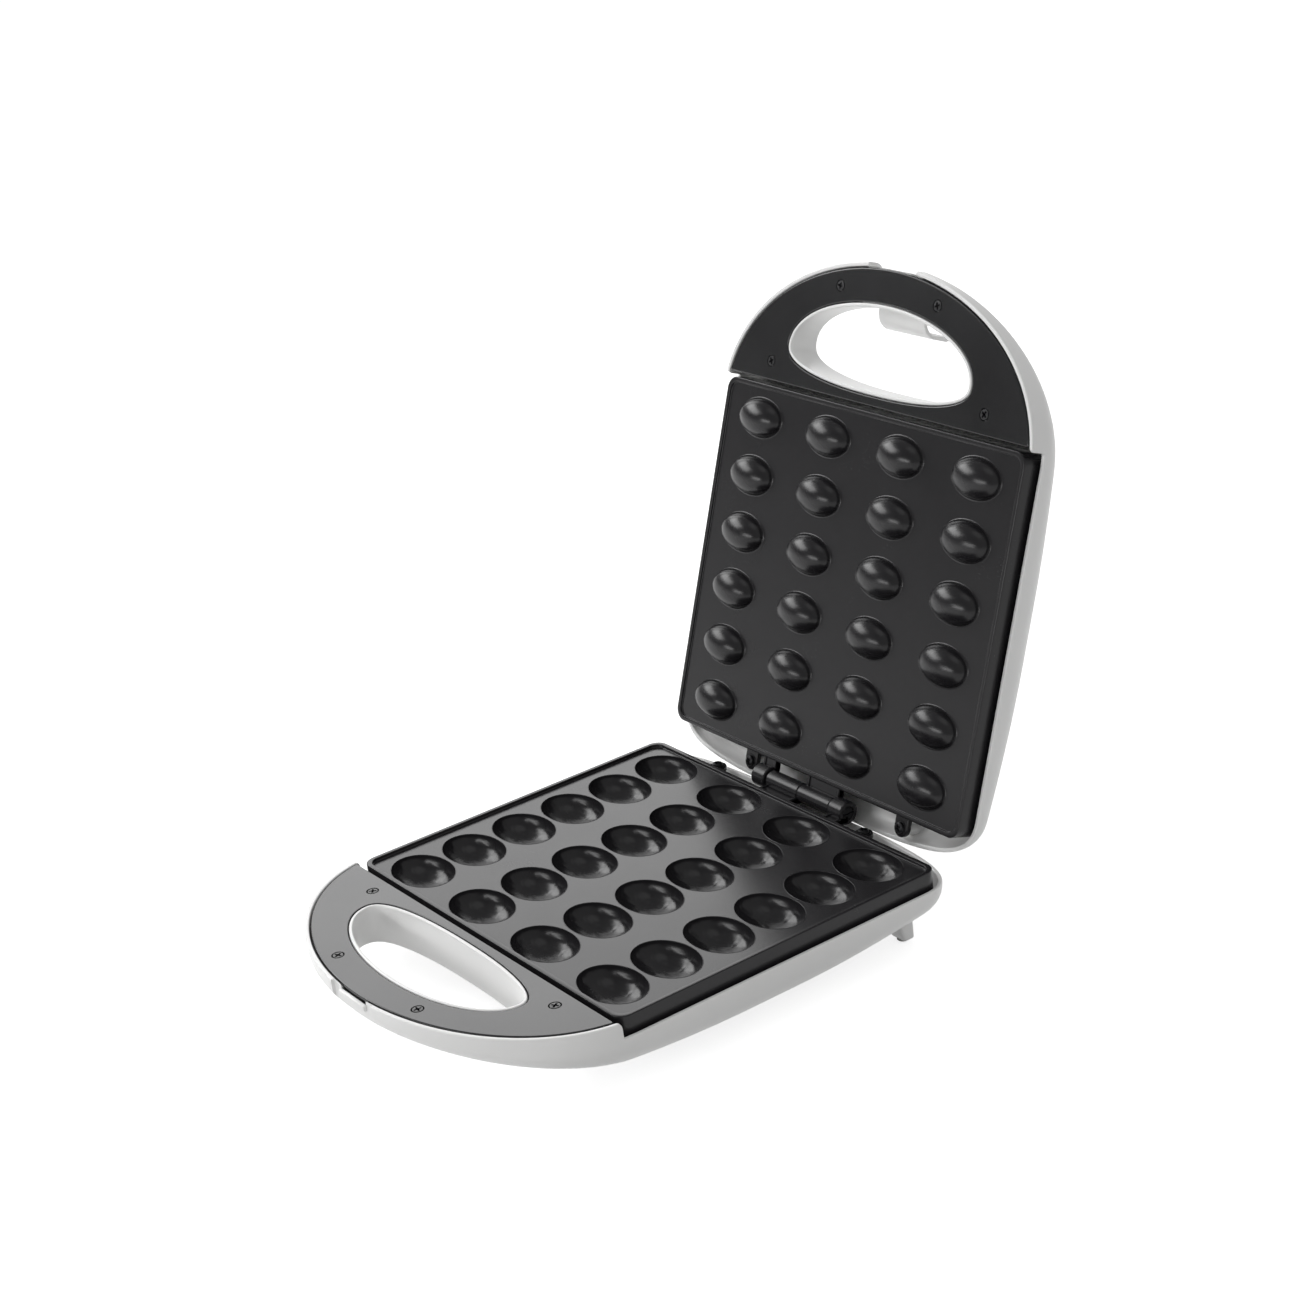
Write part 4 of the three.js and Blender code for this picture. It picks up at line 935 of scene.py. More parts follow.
@dataclass
class LatchMount:
    """The flip-over latch, its pin and its seat in the lid's handle, in millimetres.

    The latch is drawn hooked about its pin: its strip runs to -Y, bends up round the handle's tip
    and ends beyond the window that slips over the base's catch.
    """

    pivot_y: float = -157.7
    pivot_z: float = -12.0
    half_width: float = 18.0
    thickness: float = 2.2
    bend: float = 10.0
    arm_rise: float = 1.3
    reach: float = 17.4
    end: float = 22.8
    strip_corner: float = 0.9
    barrel_radius: float = 3.2
    pin_radius: float = 1.5
    bevel: float = 0.3
    window_half_width: float = 12.6
    window: Flat = (14.7, 19.8)
    slot_half_width: float = 18.5
    slot_wall: float = 2.5
    recess_front: float = -180.6
    recess_bottom: float = -40.0
    seat_top: float = -3.0
    seat_front: float = -173.4
    seat_bevel: tuple[Flat, ...] = ((-173.4, -7.0), (-171.5, -9.8))
    seat_floor: tuple[float, ...] = (-168.0, -163.0, -158.0, -152.9)
    swing: float = math.radians(180)

    @property
    def pin_matrix(self) -> Matrix:
        """Matrix from an upright pin to its place in the lid's half."""
        return Matrix.Translation((0, self.pivot_y, self.pivot_z)) @ ALONG_X

    @property
    def latch_matrix(self) -> Matrix:
        """Matrix from the hooked latch to the released one on the lid."""
        return (half_matrix(Half.LID) @ Matrix.Translation((0, self.pivot_y, self.pivot_z))
                @ Matrix.Rotation(self.swing, 4, "X"))

    def seat(self) -> Surface:
        """Builds the solid place in the handle that the recess is cut into."""
        floor = Shell(Half.LID).outer_floor()
        half = self.slot_half_width + self.slot_wall
        section = [(self.seat_floor[-1], self.seat_top), (self.seat_front, self.seat_top), *self.seat_bevel]
        section += [(y, floor(0, y) + PLAN.wall / 2) for y in self.seat_floor]
        return Surface().slab(section, -half, half, 0.1, steps=1, matrix=ALONG_X)

    def recess(self) -> Surface:
        """Builds the cutter of the recess that the latch lies in, hooked or released."""
        y, z, half_thick = self.pivot_y, self.pivot_z, self.thickness / 2
        floor_radius = self.bend - self.thickness - PLAN.fit
        bend_y, bend_z = y - self.reach + self.bend, z + self.arm_rise - half_thick + self.bend
        released = z - self.arm_rise + half_thick + PLAN.fit
        chamber = self.barrel_radius + PLAN.fit
        first = math.pi - math.asin((bend_z - floor_radius - z) / chamber)
        last = math.asin((released - z) / chamber)
        section = [(self.recess_front, self.recess_bottom), (self.recess_front, bend_z)]
        section += arc(-math.pi, -QUARTER, 12, floor_radius, bend_y, bend_z)
        section += arc(first, last, 12, chamber, y, z)
        section += [(PLAN.opening_y, released), (PLAN.opening_y, self.recess_bottom)]
        half = self.slot_half_width
        return Surface().slab(section[::-1], -half, half, 0.1, steps=1, matrix=ALONG_X)

    def pin_hole(self) -> Surface:
        """Builds the cutter of the pin's hole through the seat's side walls."""
        r, end = self.pin_radius + PLAN.fit, self.slot_half_width + self.slot_wall + 3.0
        return Surface().turned([(0, -end), (r, -end), (r, end), (0, end)], 32, self.pin_matrix)

    def pin(self) -> Surface:
        """Builds the latch's pin with bevelled ends."""
        end = self.slot_half_width + self.slot_wall
        return Surface().turned(bevelled(0, self.pin_radius, -end, end, self.bevel), 32, self.pin_matrix)

    def barrel(self) -> Surface:
        """Builds the tube about the pin."""
        profile = bevelled(self.pin_radius + PLAN.fit, self.barrel_radius, -self.half_width, self.half_width,
                           self.bevel)
        return Surface().turned(profile, 48, ALONG_X)

    def strip(self) -> Surface:
        """Builds the bent strip with soft edges."""
        thick, reach, corner = self.thickness, self.reach, self.strip_corner
        low = self.arm_rise - thick / 2
        start = -self.pin_radius - PLAN.fit - 0.1
        y, z = self.bend - reach, self.bend + low
        path = [(start, low), *arc(-QUARTER, -math.pi, 18, self.bend, y, z)]
        path += arc(math.pi, QUARTER, 5, corner, corner - reach, self.end - corner)
        path += arc(QUARTER, 0.0, 5, corner, thick - corner - reach, self.end - corner)
        path += [*arc(-math.pi, -QUARTER, 18, self.bend - thick, y, z), (start, low + thick)]
        return Surface().slab(path[::-1], -self.half_width, self.half_width, 0.5, steps=4, matrix=ALONG_X)

    def window_tool(self) -> Surface:
        """Builds the cutter of the window that slips over the base's catch."""
        low, high = self.window
        loop = rounded_rectangle(self.window_half_width, (high - low) / 2, 0.9, 5, 0, (low + high) / 2)
        return Surface().slab(loop, self.reach - self.thickness - 2.0, self.reach + 2.0, 0.1, steps=1,
                              matrix=TO_FRONT)

    def finger_lip(self) -> Surface:
        """Builds the raised lip along the strip's end, which a fingertip pulls."""
        loop = rounded_rectangle(self.half_width - 3.4, 1.1, 1.0, 6, 0, self.end - 1.5)
        return Surface().slab(loop, self.reach - 0.8, self.reach + 0.8, 0.5, matrix=TO_FRONT)


def build_shells() -> None:
    """Builds both shells with what is moulded on them."""
    mount, fittings = LatchMount(), BaseFittings()
    for half in Half:
        shell, matrix = Shell(half), half_matrix(half)
        added, cutters, catches = [shell.slot_block(), *shell.posts()], [shell.slot_tool()], []
        if half is Half.BASE:
            added += [fittings.rear_leg(-1), fittings.rear_leg(1), fittings.front_leg(-1),
                      fittings.front_leg(1), fittings.gland_pad()]
            cutters.append(fittings.gland_hole())
            catches.append(fittings.catch())
        else:
            added.append(mount.seat())
            cutters += [mount.recess(), mount.pin_hole(), *(lamp.hole() for lamp in LAMPS)]
        body = shell.body().make(f"{half.value}_shell_body", matrix)
        combine(body, Act.JOIN, added, matrix)
        combine(body, Act.CUT, cutters, matrix)
        if catches:
            combine(body, Act.JOIN, catches, matrix)
        dress(body, half.value, WHITE_ABS, [f"{half.value}_shell"])


@dataclass
class CrossScrew:
    """A cross-recessed screw with its head's top at z = 0, in millimetres."""

    countersunk: bool
    head_radius: float = 3.1
    head_height: float = 1.7
    shank_radius: float = 1.3
    length: float = 9.0
    recess_length: float = 3.9
    recess_width: float = 1.05
    recess_depth: float = 1.5
    recess_crease: float = 28.0

    def build(self, name: str, matrix: Matrix, turn: float) -> bpy.types.Object:
        """Builds the screw.

        Args:
            name: the object's name.
            matrix: takes the screw to its place in metres.
            turn: angle of the cross about the screw's axis.

        Returns:
            The screw.
        """
        r, h, shank = self.head_radius, self.head_height, self.shank_radius
        if self.countersunk:
            r -= 0.4
            head = [(0, 0.0), (r - 0.5, 0.0), (r - 0.12, -0.04), (r, -0.16), (r, -0.9), (shank, -h)]
        else:
            head = [(0, 0.0), (1.2, -0.04), (2.1, -0.2), (2.75, -0.55), (3.02, -1.0), (r, -h + 0.15),
                    (r - 0.12, -h), (shank, -h)]
        tail = [(shank, -self.length + 1.0), (0.5, -self.length), (0, -self.length)]
        spin = Matrix.Rotation(turn, 4, "Z")
        piece = Surface().turned(head + tail, 48).make(name, spin)
        long, short, tools = self.recess_length / 2, self.recess_width / 2, []
        for x, y in ((long, short), (short, long)):
            low = at_height(rounded_rectangle(x * 0.7, y * 0.8, 0.12, 3), -self.recess_depth)
            high = at_height(rounded_rectangle(x * 1.15, y * 1.1, 0.2, 3), 0.5)
            tools.append(Surface().closed([low, high]))
        combine(piece, Act.CUT, tools, spin, self.recess_crease)
        piece.data.transform(matrix)
        return piece


@dataclass
class HandleTrim:
    """The satin black cover round a half's finger opening, in millimetres."""

    half: Half
    top: float = -0.5
    thickness: float = 2.2
    edge: float = 0.6
    corner: float = 1.4
    corner_run: float = 1.2
    shadow_gap: float = 0.55
    sink: tuple[Flat, ...] = ((0, -4.0), (1.6, -4.0), (1.6, -2.1), (3.25, -1.8), (3.25, -0.12),
                              (3.37, 0.01), (3.37, 1.0), (0, 1.0))
    first_turn: float = 0.35
    next_turn: float = 1.1

    def outline(self) -> list[Flat]:
        """Returns the cover's counter-clockwise outline."""
        inset, rear = PLAN.wall + PLAN.fit + self.shadow_gap, PLAN.trim_rear_y
        rim = [p for p in (s.inside(inset) for s in OUTLINE) if p[1] < rear - self.corner - self.corner_run]
        loop = [p for p in rim if p[0] < 0] + [p for p in rim if p[0] >= 0]
        x = PLAN.side_x(rear) - inset - self.corner
        for sign, first in ((1, 0.0), (-1, QUARTER)):
            loop += arc(first, first + QUARTER, 5, self.corner, sign * x, rear - self.corner)
        return loop

    def screw_places(self) -> list[tuple[str, float, float]]:
        """Returns end, x and y of each of the four screws."""
        x, margin = PLAN.front_screw_x, PLAN.fit + PLAN.opening_wall
        outer = (PLAN.body_half_width - PLAN.wall, PLAN.handle_reach - PLAN.wall, PLAN.arc_y)
        inner = (PLAN.opening_half_width + margin, PLAN.opening_front + margin, PLAN.opening_y)
        front_y = sum(y - reach * math.sqrt(1 - (x / half) ** 2) for half, reach, y in (outer, inner)) / 2
        rear_x = PLAN.body_half_width - PLAN.rear_screw_inset
        rear_y = PLAN.trim_rear_y - PLAN.rear_screw_setback
        return [(end, sign * half, y) for end, half, y in (("front", x, front_y), ("rear", rear_x, rear_y))
                for sign in (-1, 1)]

    def build(self) -> None:
        """Builds the cover and its screws."""
        name, matrix = self.half.value, half_matrix(self.half)
        opening = PLAN.opening(PLAN.opening_wall + PLAN.fit + self.shadow_gap / 2)
        cover = Surface().slab(self.outline(), self.top - self.thickness, self.top, self.edge, [opening])
        piece = cover.make(f"{name}_trim_cover", matrix)
        screws = [(f"{name}_trim_screw_{end}_{self.half.side(x)}", Matrix.Translation((x, y, self.top)))
                  for end, x, y in self.screw_places()]
        combine(piece, Act.CUT, [Surface().turned(self.sink, 48, place) for _, place in screws], matrix)
        dress(piece, name, BLACK_PHENOLIC, [f"{name}_handle_trim"])
        for i, (node, place) in enumerate(screws):
            screw = CrossScrew(countersunk=True).build(f"{node}_cross", matrix @ place,
                                                       self.first_turn + i * self.next_turn)
            dress(screw, name, BLACK_LACQUER, [node])


@dataclass
class CookingPlate:
    """A half's cast plate with its wells or domes, in millimetres.

    Wells, bulges, domes and pockets have half lengths along X and Y, and a depth or rise.
    """

    half: Half
    thickness: float = 2.5
    lip_width: float = 2.6
    lip_edges: Flat = (0.5, 0.35)
    skirt_bottom: float = -14.0
    skirt_wall: float = 2.6
    skirt_edge: float = 0.4
    fillet: float = 0.4
    corner: float = 7.0
    well: Point = (21.0, 15.0, 11.0)
    bulge: Flat = (23.5, 15.85)
    dome: Point = (17.0, 10.2, 7.5)
    pocket: Point = (14.5, 7.7, 5.0)
    well_bead: tuple[Flat, ...] = ((0.52, 0.0), (0.45, 0.0), (0.36, 0.1), (0.25, 0.13), (0.13, 0.08),
                                   (0.04, -0.05), (0.0, -0.25))
    dome_bead: tuple[Flat, ...] = ((1.25, 0.0), (1.1, 0.0), (0.92, 0.14), (0.72, 0.2), (0.52, 0.14),
                                   (0.36, 0.0), (0.22, -0.08), (0.1, 0.02))
    vein_height: float = 0.18
    vein_cell: float = 6.5
    vein_stretch: float = 1.7
    vein_width: float = 0.22
    vein_fade: Flat = (0.12, 0.25)
    vein_warp: float = 0.25
    seam_width: float = 0.9
    seam_share: float = 0.8
    lug_half_width: float = 5.0
    lug_top: float = -5.0
    lug_bottom: float = -8.0
    lug_hole: float = 1.6

    @property
    def surface_z(self) -> float:
        """Height of the cooking surface."""
        return -PLAN.mating_gap - SIZES[self.half].lip_height

    def _loop(self, inset: float, z: float) -> list[Point]:
        """Returns the plate's outline at an inset and height."""
        return at_height(rounded_rectangle(PLAN.plate_half_width - inset, PLAN.plate_half_depth - inset,
                                           self.corner - inset / 2, 10), z)

    @staticmethod
    def _oval(half_x: float, half_y: float, z: float, count: int) -> list[Point]:
        """Returns the points of an oval about the Z axis."""
        return [(half_x * c, half_y * s, z) for c, s in circle(1.0, count)]

    def _bowl(self, size: Point, angles: Sequence[Flat], count: int) -> list[list[Point]]:
        """Returns the ovals of a part of an ellipsoid, for the cosine and sine of each slope."""
        a, b, rise = size
        return [self._oval(a * c, b * c, rise * s, count) for c, s in angles]

    def _bead(self, size: Point, bead: Sequence[Flat], count: int) -> list[list[Point]]:
        """Returns the ovals of the raised bead round a well or dome."""
        return [self._oval(size[0] + growth, size[1] + growth, z, count) for growth, z in bead]

    def _ridge(self, p: Vector, sink: float) -> float:
        """Returns the height of the mould's walnut ridges at a point of a well."""
        cell, start, run = self.vein_cell, *self.vein_fade
        fade = min(max((sink - start) / run, 0), 1)
        seat = Vector((p.x / (cell * self.vein_stretch), p.y / cell, p.z / cell))
        seat += self.vein_warp * noise.noise_vector(seat * 1.3)
        near = noise.voronoi(seat)[0]
        ridge = math.exp(-(((near[1] - near[0]) / self.vein_width) ** 2))
        seam = math.exp(-((p.y / self.seam_width) ** 2))
        return self.vein_height * fade * max(ridge, seam * self.seam_share)

    def _well_rings(self, steps: int, count: int) -> list[list[Point]]:
        """Returns a ridged well's rings from below its rim to near its bottom."""
        a, b, depth = self.well
        made = []
        for i in range(1, steps + 1):
            angle = i / (steps + 0.6) * QUARTER
            rho, sink = math.cos(angle), math.sin(angle) ** 0.92
            ring = []
            for c, s in circle(1.0, count):
                p = Vector((a * rho * c, b * rho * s, -depth * sink))
                normal = Vector((-p.x / a ** 2, -p.y / b ** 2, -p.z / depth ** 2)).normalized()
                ring.append(tuple(p + normal * self._ridge(p, sink)))
            made.append(ring)
        return made

    @staticmethod
    def _spread(surface: Surface, unit: Sequence[Sequence[Point]], z: float) -> list[list[int]]:
        """Adds a form at every baking place and closes its far end.

        Args:
            surface: takes the forms.
            unit: the form's rings about the Z axis.
            z: height that the form stands at.

        Returns:
            The numbers of each form's first ring.
        """
        starts = []
        for at_x, at_y in PLAN.wells():
            loops = [[(at_x + x, at_y + y, z + rise) for x, y, rise in loop] for loop in unit]
            starts.append(surface.ring(loops[0]))
            surface.cap(surface.rings(loops[1:], starts[-1]))
        return starts

    def body(self) -> Surface:
        """Builds the plate."""
        surface = Surface()
        top, floor = -PLAN.mating_gap, self.surface_z
        under, soft = floor - self.thickness, self.skirt_edge
        lip, wall, low = self.lip_width, self.skirt_wall, self.skirt_bottom
        outer, inner = self.lip_edges
        levels = [(wall + HOLD, under), (wall, under - 0.2), (wall, low + soft), (wall - soft, low),
                  (soft, low), (0.0, low + soft), (0.0, lerp(low, top, 0.5))]
        levels += edge(0, top, outer, outer) + edge(lip, top, -inner, inner)[::-1]
        levels += edge(lip, floor, self.fillet, -self.fillet) + [(lip + self.fillet + 0.12, floor)]
        loops = [self._loop(inset, z) for inset, z in levels]
        first = surface.ring(loops[0])
        last = surface.rings(loops[1:], first)
        if self.half is Half.BASE:
            depth = self.well[2] + self.thickness / 2
            start = math.asin(self.thickness / 2 / depth)
            front = self._bead(self.well, self.well_bead, 112) + self._well_rings(30, 112)
            back = self._bowl((*self.bulge, -depth), arc(start, start + QUARTER - 0.1, 7)[:-1], 48)
            back_z = floor - self.thickness / 2
        else:
            front = self._bead(self.dome, self.dome_bead, 72)
            front += self._bowl(self.dome, arc(0.04, QUARTER, 16)[:-1], 72)
            back, back_z = self._bowl(self.pocket, arc(0, QUARTER, 6)[:-1], 36), under
        rims = self._spread(surface, front, floor)
        backs = self._spread(surface, back, back_z)
        surface.fill([last, *rims])
        surface.fill([first, *backs])
        return surface

    def lug(self, x: float, y: float) -> Surface:
        """Builds a round-ended screw lug with a raised seat round its hole."""
        half, hole, root = self.lug_half_width, self.lug_hole, PLAN.plate_half_depth - self.skirt_wall / 2
        low, high = self.lug_top - 0.1, self.lug_top + 0.25
        loop = [(x - half, root), (x + half, root), *arc(0, math.pi, 20, half, x, y)]
        lug = Surface().slab(loop, self.lug_bottom, self.lug_top, 0.6, [circle(hole, 32, x, y)])
        return lug.turned([(hole, low), (4.0, low), (3.8, high), (hole, high), (hole, low)], 40,
                          Matrix.Translation((x, y, 0)))

    def build(self) -> None:
        """Builds the plate, its lugs and their screws."""
        name, matrix = self.half.value, half_matrix(self.half)
        plate = self.body().make(f"{name}_plate_cast", matrix, 40.0)
        dress(plate, name, NONSTICK, [f"{name}_plate"])
        for x, y in PLAN.lugs():
            side = self.half.side(x)
            dress(self.lug(x, y).make(f"{name}_lug_{side}", matrix), name, NONSTICK)
            screw = CrossScrew(countersunk=False)
            place = matrix @ Matrix.Translation((x, y, self.lug_top + PLAN.fit + screw.head_height))
            node = f"{name}_plate_screw_{side}"
            dress(screw.build(f"{node}_cross", place, 0.5), name, BLACK_STEEL, [node])


@dataclass
class HingeHalf:
    """A half's hinge barrel and ear with their leaves, in millimetres."""

    half: Half
    knuckle_radius: float = 5.2
    knuckle_length: float = 26.0
    knuckle_gap: float = 0.15
    knuckle_bevel: float = 0.45
    ear_radius: float = 6.3
    ear_start: float = 27.0
    ear_thickness: float = 10.3
    ear_bevel: float = 0.6
    bore: float = 2.3
    head_seat: float = 3.7
    head_seat_depth: float = 1.7
    leaf_root: float = 1.3
    leaf_top: float = -1.0
    leaf_bottom: float = -5.2
    rib_half_width: float = 0.9

    @property
    def ear_end(self) -> float:
        """X of the ear's outer face."""
        return self.ear_start + self.ear_thickness

    @property
    def axis(self) -> Matrix:
        """Matrix from an upright part to the hinge axis."""
        return Matrix.Translation((0, PLAN.hinge_y, 0)) @ ALONG_X

    def barrel(self) -> Surface:
        """Builds the barrel with bevelled ends."""
        profile = bevelled(self.bore, self.knuckle_radius, -self.knuckle_length, -self.knuckle_gap,
                           self.knuckle_bevel)
        return Surface().turned(profile, 64, self.axis)

    def ear(self) -> Surface:
        """Builds the ear, with a seat for the pin's head in its outer face."""
        r, c, seat, low, high = self.ear_radius, self.ear_bevel, self.head_seat, self.ear_start, self.ear_end
        floor = high - self.head_seat_depth
        return Surface().turned([
            (self.bore, low), (r - c, low), (r, low + c), (r, high - c), (r - c, high), (seat + 0.2, high),
            (seat, high - 0.2), (seat, floor), (self.bore, floor), (self.bore, low),
        ], 64, self.axis)

    def leaf(self, low_x: float, high_x: float) -> Surface:
        """Builds a leaf with a low rib along each side."""
        root, rib = PLAN.plate_half_depth - self.leaf_root, self.rib_half_width
        half_y, y = (PLAN.hinge_y - root) / 2, (PLAN.hinge_y + root) / 2
        loop = rounded_rectangle((high_x - low_x) / 2, half_y, 0.8, 3, (low_x + high_x) / 2, y)
        leaf = Surface().slab(loop, self.leaf_bottom, self.leaf_top - 0.7, 0.4)
        for x in (low_x + rib, high_x - rib):
            loop = rounded_rectangle(rib, half_y, 0.7, 3, x, y)
            leaf.slab(loop, self.leaf_bottom + 0.5, self.leaf_top, 0.3)
        return leaf

    def build(self) -> None:
        """Builds the half's four hinge pieces."""
        name, matrix = self.half.value, half_matrix(self.half)
        parts = {
            "hinge_barrel": self.barrel(),
            "hinge_ear": self.ear(),
            "hinge_barrel_leaf": self.leaf(-self.knuckle_length, -self.knuckle_gap),
            "hinge_ear_leaf": self.leaf(self.ear_start, self.ear_end),
        }
        for part, surface in parts.items():
            dress(surface.make(f"{name}_{part}", matrix), name, NONSTICK)

    def pin(self) -> None:
        """Builds the pin with its slotted head."""
        end, matrix = self.ear_end, half_matrix(Half.BASE)
        profile = [(0, -end), (1.6, -end), (2.0, -end + 0.4), (2.0, end - 1.4), (3.4, end - 1.4),
                   (3.4, end - 0.3), (3.1, end), (0, end)]
        piece = Surface().turned(profile, 48, self.axis).make("hinge_pin_slotted", matrix)
        slot = rounded_rectangle(1.0, 5.0, 0.1, 2, end + 0.3, PLAN.hinge_y)
        combine(piece, Act.CUT, [Surface().slab(slot, -0.4, 0.4, 0.05)], matrix)
        dress(piece, "base", BLACK_STEEL, ["hinge_pin"])


@dataclass
class Lamp:
    """An indicator lamp's lens in the lid's outer side, in millimetres."""

    node: str
    slot: str
    x: float
    finish: Finish
    radius: float = 3.2
    hole_radius: float = 3.5
    y: ClassVar[float] = -82.0

    def hole(self) -> Surface:
        """Builds the cutter of the lamp's hole in the lid's shell."""
        r = self.hole_radius
        return Surface().turned([(0, -60.0), (r, -60.0), (r, -12.0), (0, -12.0)], 40,
                                Matrix.Translation((self.x, self.y, 0)))

    def build(self) -> None:
        """Builds the domed lens with its collar."""
        r = self.radius
        profile = [(0, -0.8), (1.2, -0.76), (2.2, -0.55), (2.9, -0.1), (r, 0.4), (r, 2.5), (4.4, 2.5),
                   (4.4, 3.7), (2.8, 3.7), (2.8, 10.0), (0, 10.0)]
        place = Matrix.Translation((self.x, self.y, -Shell(Half.LID).depth_at(self.y)))
        lens = Surface().turned(profile, 44, place).make(f"{self.node}_lens", half_matrix(Half.LID))
        dress(lens, "lid", self.finish, [self.node])


LAMPS = (Lamp("lamp_power", "lamp_red", -9.0, RED_LENS), Lamp("lamp_ready", "lamp_green", 9.0, GREEN_LENS))


def build_latch() -> None:
    """Builds the latch and its pin."""
    mount = LatchMount()
    matrix = mount.latch_matrix
    latch = mount.strip().make("latch_clip", matrix)
    combine(latch, Act.JOIN, [mount.barrel(), mount.finger_lip()], matrix)
    combine(latch, Act.CUT, [mount.window_tool()], matrix)
    dress(latch, "latch", WHITE_ABS, ["latch"])
    pin = mount.pin().make("latch_pin_bevelled", half_matrix(Half.LID))
    dress(pin, "lid", ZINC_STEEL, ["latch_pin"])


def build_small_parts() -> None:
    """Builds the feet and the gland, and gives the hidden CAD parts their finishes."""
    fittings, matrix = BaseFittings(), half_matrix(Half.BASE)
    for node, x, y, radius in fittings.feet():
        foot = fittings.foot(radius, x, y).make(f"{node}_pad", matrix)
        dress(foot, "base", GREY_RUBBER, [node])
    gland = fittings.gland().make("cord_gland_bush", matrix)
    dress(gland, "base", BLACK_RUBBER, ["cord_gland"])
    hidden = {
        "base_heating_element": HEATED_SHEATH, "lid_heating_element": HEATED_SHEATH,
        "base_reflector": ROLLED_ALUMINIUM, "lid_reflector": ROLLED_ALUMINIUM,
        "terminal_block": STEATITE, "thermal_fuse": ZINC_STEEL, "thermostat": ZINC_STEEL,
    }
    for node, finish in hidden.items():
        part = frame["nodes"][node]
        part.data.materials.clear()
        part.data.materials.append(finish.make())


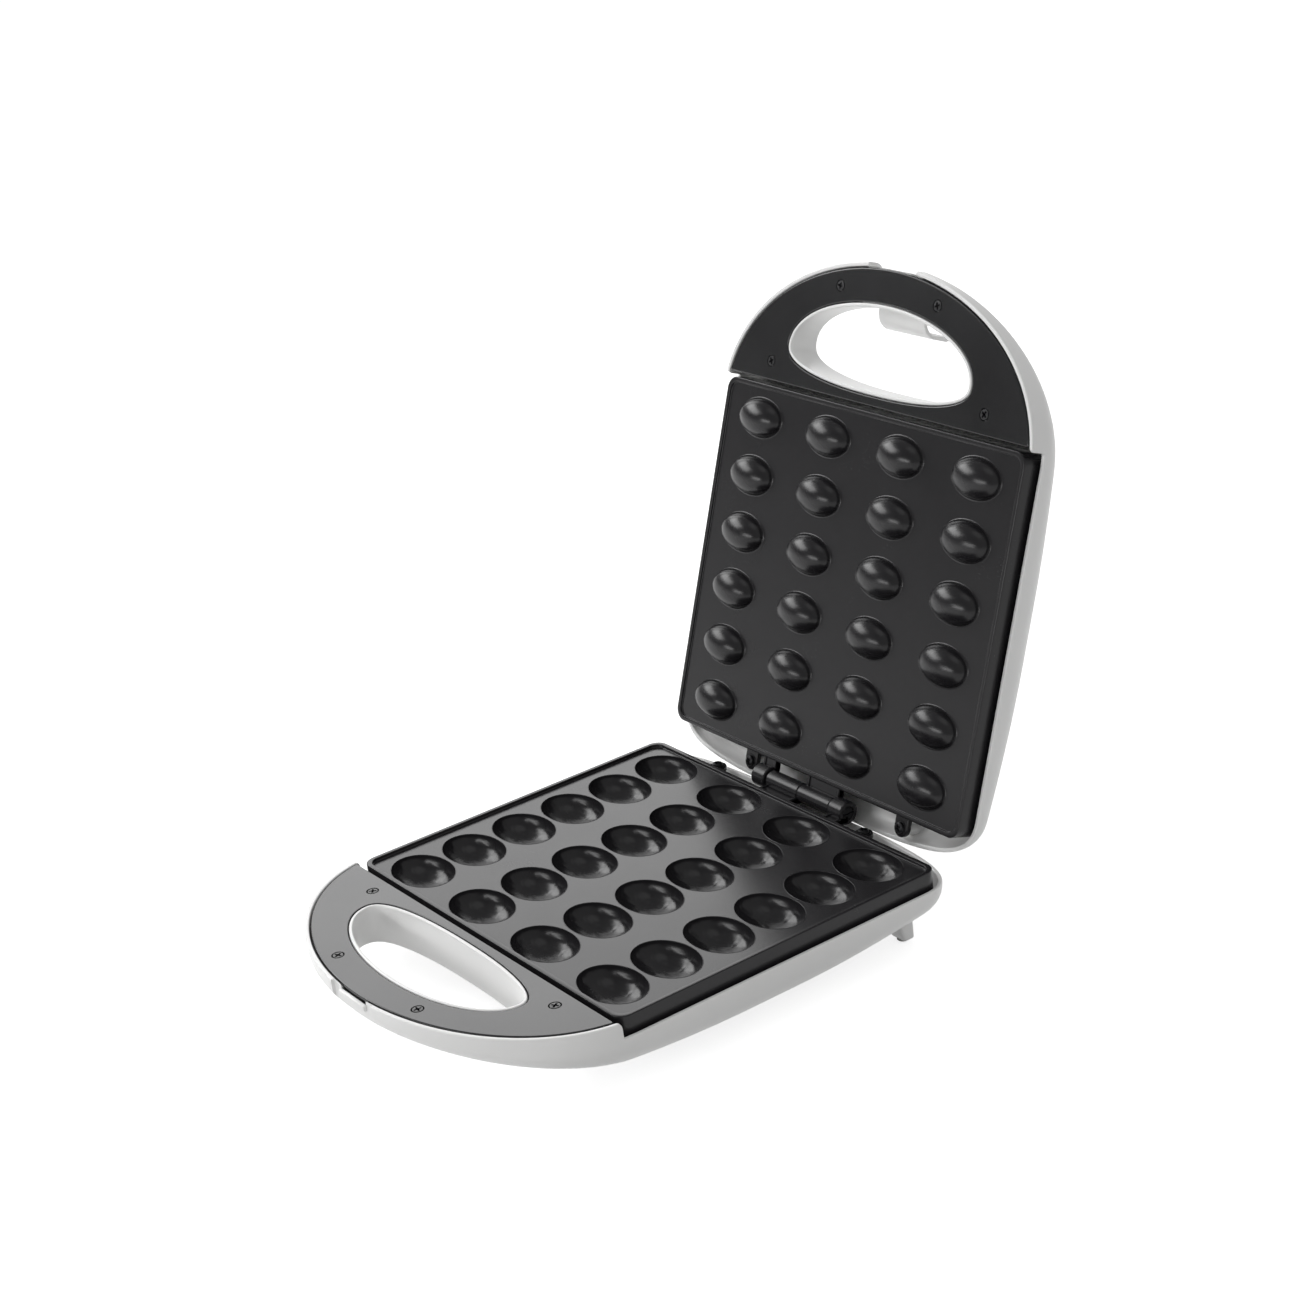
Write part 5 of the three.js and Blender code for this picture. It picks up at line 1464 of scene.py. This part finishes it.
@dataclass
class Studio:
    """The camera and lights in metres; the lens, the sensor and the floor in millimetres."""

    position: Point = (0.9823, -0.663485, 0.6380)
    azimuth: float = math.radians(55.966)
    elevation: float = math.radians(22.381)
    roll: float = math.radians(-6.754)
    lens: float = 70.2
    sensor: float = 36.0
    clip: Flat = (0.05, 200.0)
    dim_side: Point = (-0.77, -0.64, 0.0)
    bright_sky: float = 0.56
    dim_sky: float = 0.2
    floor_reach: float = 11500.0
    floor_lift: float = 0.76
    backdrop_rise: float = 1400.0
    aim: Point = (0.0, 0.0, 0.12)

    @staticmethod
    def place(name: str, data: bpy.types.ID, matrix: Matrix) -> bpy.types.Object:
        """Puts a camera or light into the scene."""
        made = bpy.data.objects.new(name, data)
        made.matrix_world = matrix
        bpy.context.scene.collection.objects.link(made)
        return made

    def camera(self) -> None:
        """Places the camera where the photograph was taken from."""
        data = bpy.data.cameras.new("camera")
        data.lens, data.sensor_width = self.lens, self.sensor
        data.clip_start, data.clip_end = self.clip
        turn = (Matrix.Rotation(self.azimuth, 4, "Z") @ Matrix.Rotation(QUARTER - self.elevation, 4, "X")
                @ Matrix.Rotation(self.roll, 4, "Z"))
        bpy.context.scene.camera = self.place("camera", data, Matrix.Translation(self.position) @ turn)

    def world(self) -> None:
        """Makes a white surround that is dim towards the front left, as the plates mirror it."""
        world = bpy.data.worlds.new("studio")
        world.use_nodes = True
        tree = world.node_tree
        shader = tree.nodes["Background"]
        towards = add_node(tree, "TexCoord").outputs["Generated"]
        side = add_node(tree, "VectorMath", {0: towards, 1: self.dim_side}, operation="DOT_PRODUCT")
        shade = add_node(tree, "MapRange", {
            "Value": side.outputs["Value"], "From Min": -0.2, "From Max": 0.8,
            "To Min": self.bright_sky, "To Max": self.dim_sky,
        })
        shader.inputs["Color"].default_value = linear("#FFFFFF")
        tree.links.new(shade.outputs["Result"], shader.inputs["Strength"])
        bpy.context.scene.world = world

    def floor(self) -> None:
        """Lays a wide pale floor with a low backdrop, lifted for the eye and for reflections alike."""
        surface = Surface()
        for rise in (self.backdrop_rise, 0.0):
            reach = self.floor_reach + rise
            square = surface.ring([(-reach, -reach, rise), (reach, -reach, rise), (reach, reach, rise),
                                   (-reach, reach, rise)])
        surface.band((0, 1, 2, 3), square)
        surface.faces.append(tuple(square))
        floor = surface.make("floor", Matrix.Scale(MM, 4))
        material = PALE_FLOOR.make()
        tree = material.node_tree
        path = add_node(tree, "LightPath").outputs
        mirrored = add_node(tree, "Math", {0: path["Is Glossy Ray"], 1: path["Is Transmission Ray"]},
                            operation="MAXIMUM").outputs["Value"]
        seen = add_node(tree, "Math", {0: path["Is Camera Ray"], 1: mirrored},
                        operation="MAXIMUM").outputs["Value"]
        lift = add_node(tree, "Math", {0: seen, 1: self.floor_lift}, operation="MULTIPLY").outputs["Value"]
        inputs = tree.nodes["Principled BSDF"].inputs
        inputs["Emission Color"].default_value = linear("#FFFFFF")
        tree.links.new(lift, inputs["Emission Strength"])
        floor.data.materials.append(material)

    def panel(self, name: str, towards: Point, distance: float, size: Flat, radiance: float) -> None:
        """Hangs a soft light panel that faces the machine.

        Args:
            name: the light's name.
            towards: direction from the machine to the panel.
            distance: how far away it is, in metres.
            size: width and height in metres.
            radiance: brightness of its face.
        """
        data = bpy.data.lights.new(name, "AREA")
        data.shape = "RECTANGLE"
        data.size, data.size_y = size
        data.energy = radiance * math.pi * size[0] * size[1]
        out = Vector(towards).normalized()
        turn = out.to_track_quat("Z", "Y").to_matrix().to_4x4()
        self.place(name, data, Matrix.Translation(Vector(self.aim) + out * distance) @ turn)

    def sun(self, name: str, towards: Point, strength: float, degrees: float) -> None:
        """Adds a broad soft sun, which lights near and far floor alike.

        Args:
            name: the light's name.
            towards: direction from the machine to the light.
            strength: irradiance square to the light.
            degrees: its angular width.
        """
        data = bpy.data.lights.new(name, "SUN")
        data.energy = strength
        data.angle = math.radians(degrees)
        self.place(name, data, Vector(towards).to_track_quat("Z", "Y").to_matrix().to_4x4())

    def build(self) -> None:
        """Sets up the whole studio."""
        self.camera()
        self.world()
        self.floor()
        self.sun("top_sun", (0.0, -0.2, 0.98), 0.15, 34.0)
        self.panel("panel_back_left", (-0.78, 0.46, 0.46), 2.4, (2.0, 1.1), 2.8)
        self.panel("panel_left", (-1.6, -0.62, 1.05), 2.1, (1.5, 0.65), 6.8)
        self.panel("panel_front", (-0.17, -0.97, 0.24), 2.2, (1.2, 0.4), 7.5)
        bpy.context.scene.view_settings.view_transform = "Standard"


def main() -> None:
    """Builds the object, its stage and its light."""
    logging.basicConfig(level=logging.INFO, format="%(name)s: %(message)s")
    build_shells()
    for half in Half:
        HandleTrim(half).build()
        CookingPlate(half).build()
        HingeHalf(half).build()
    HingeHalf(Half.BASE).pin()
    for lamp in LAMPS:
        lamp.build()
    build_latch()
    build_small_parts()
    Studio().build()


if __name__ == "__main__":
    main()
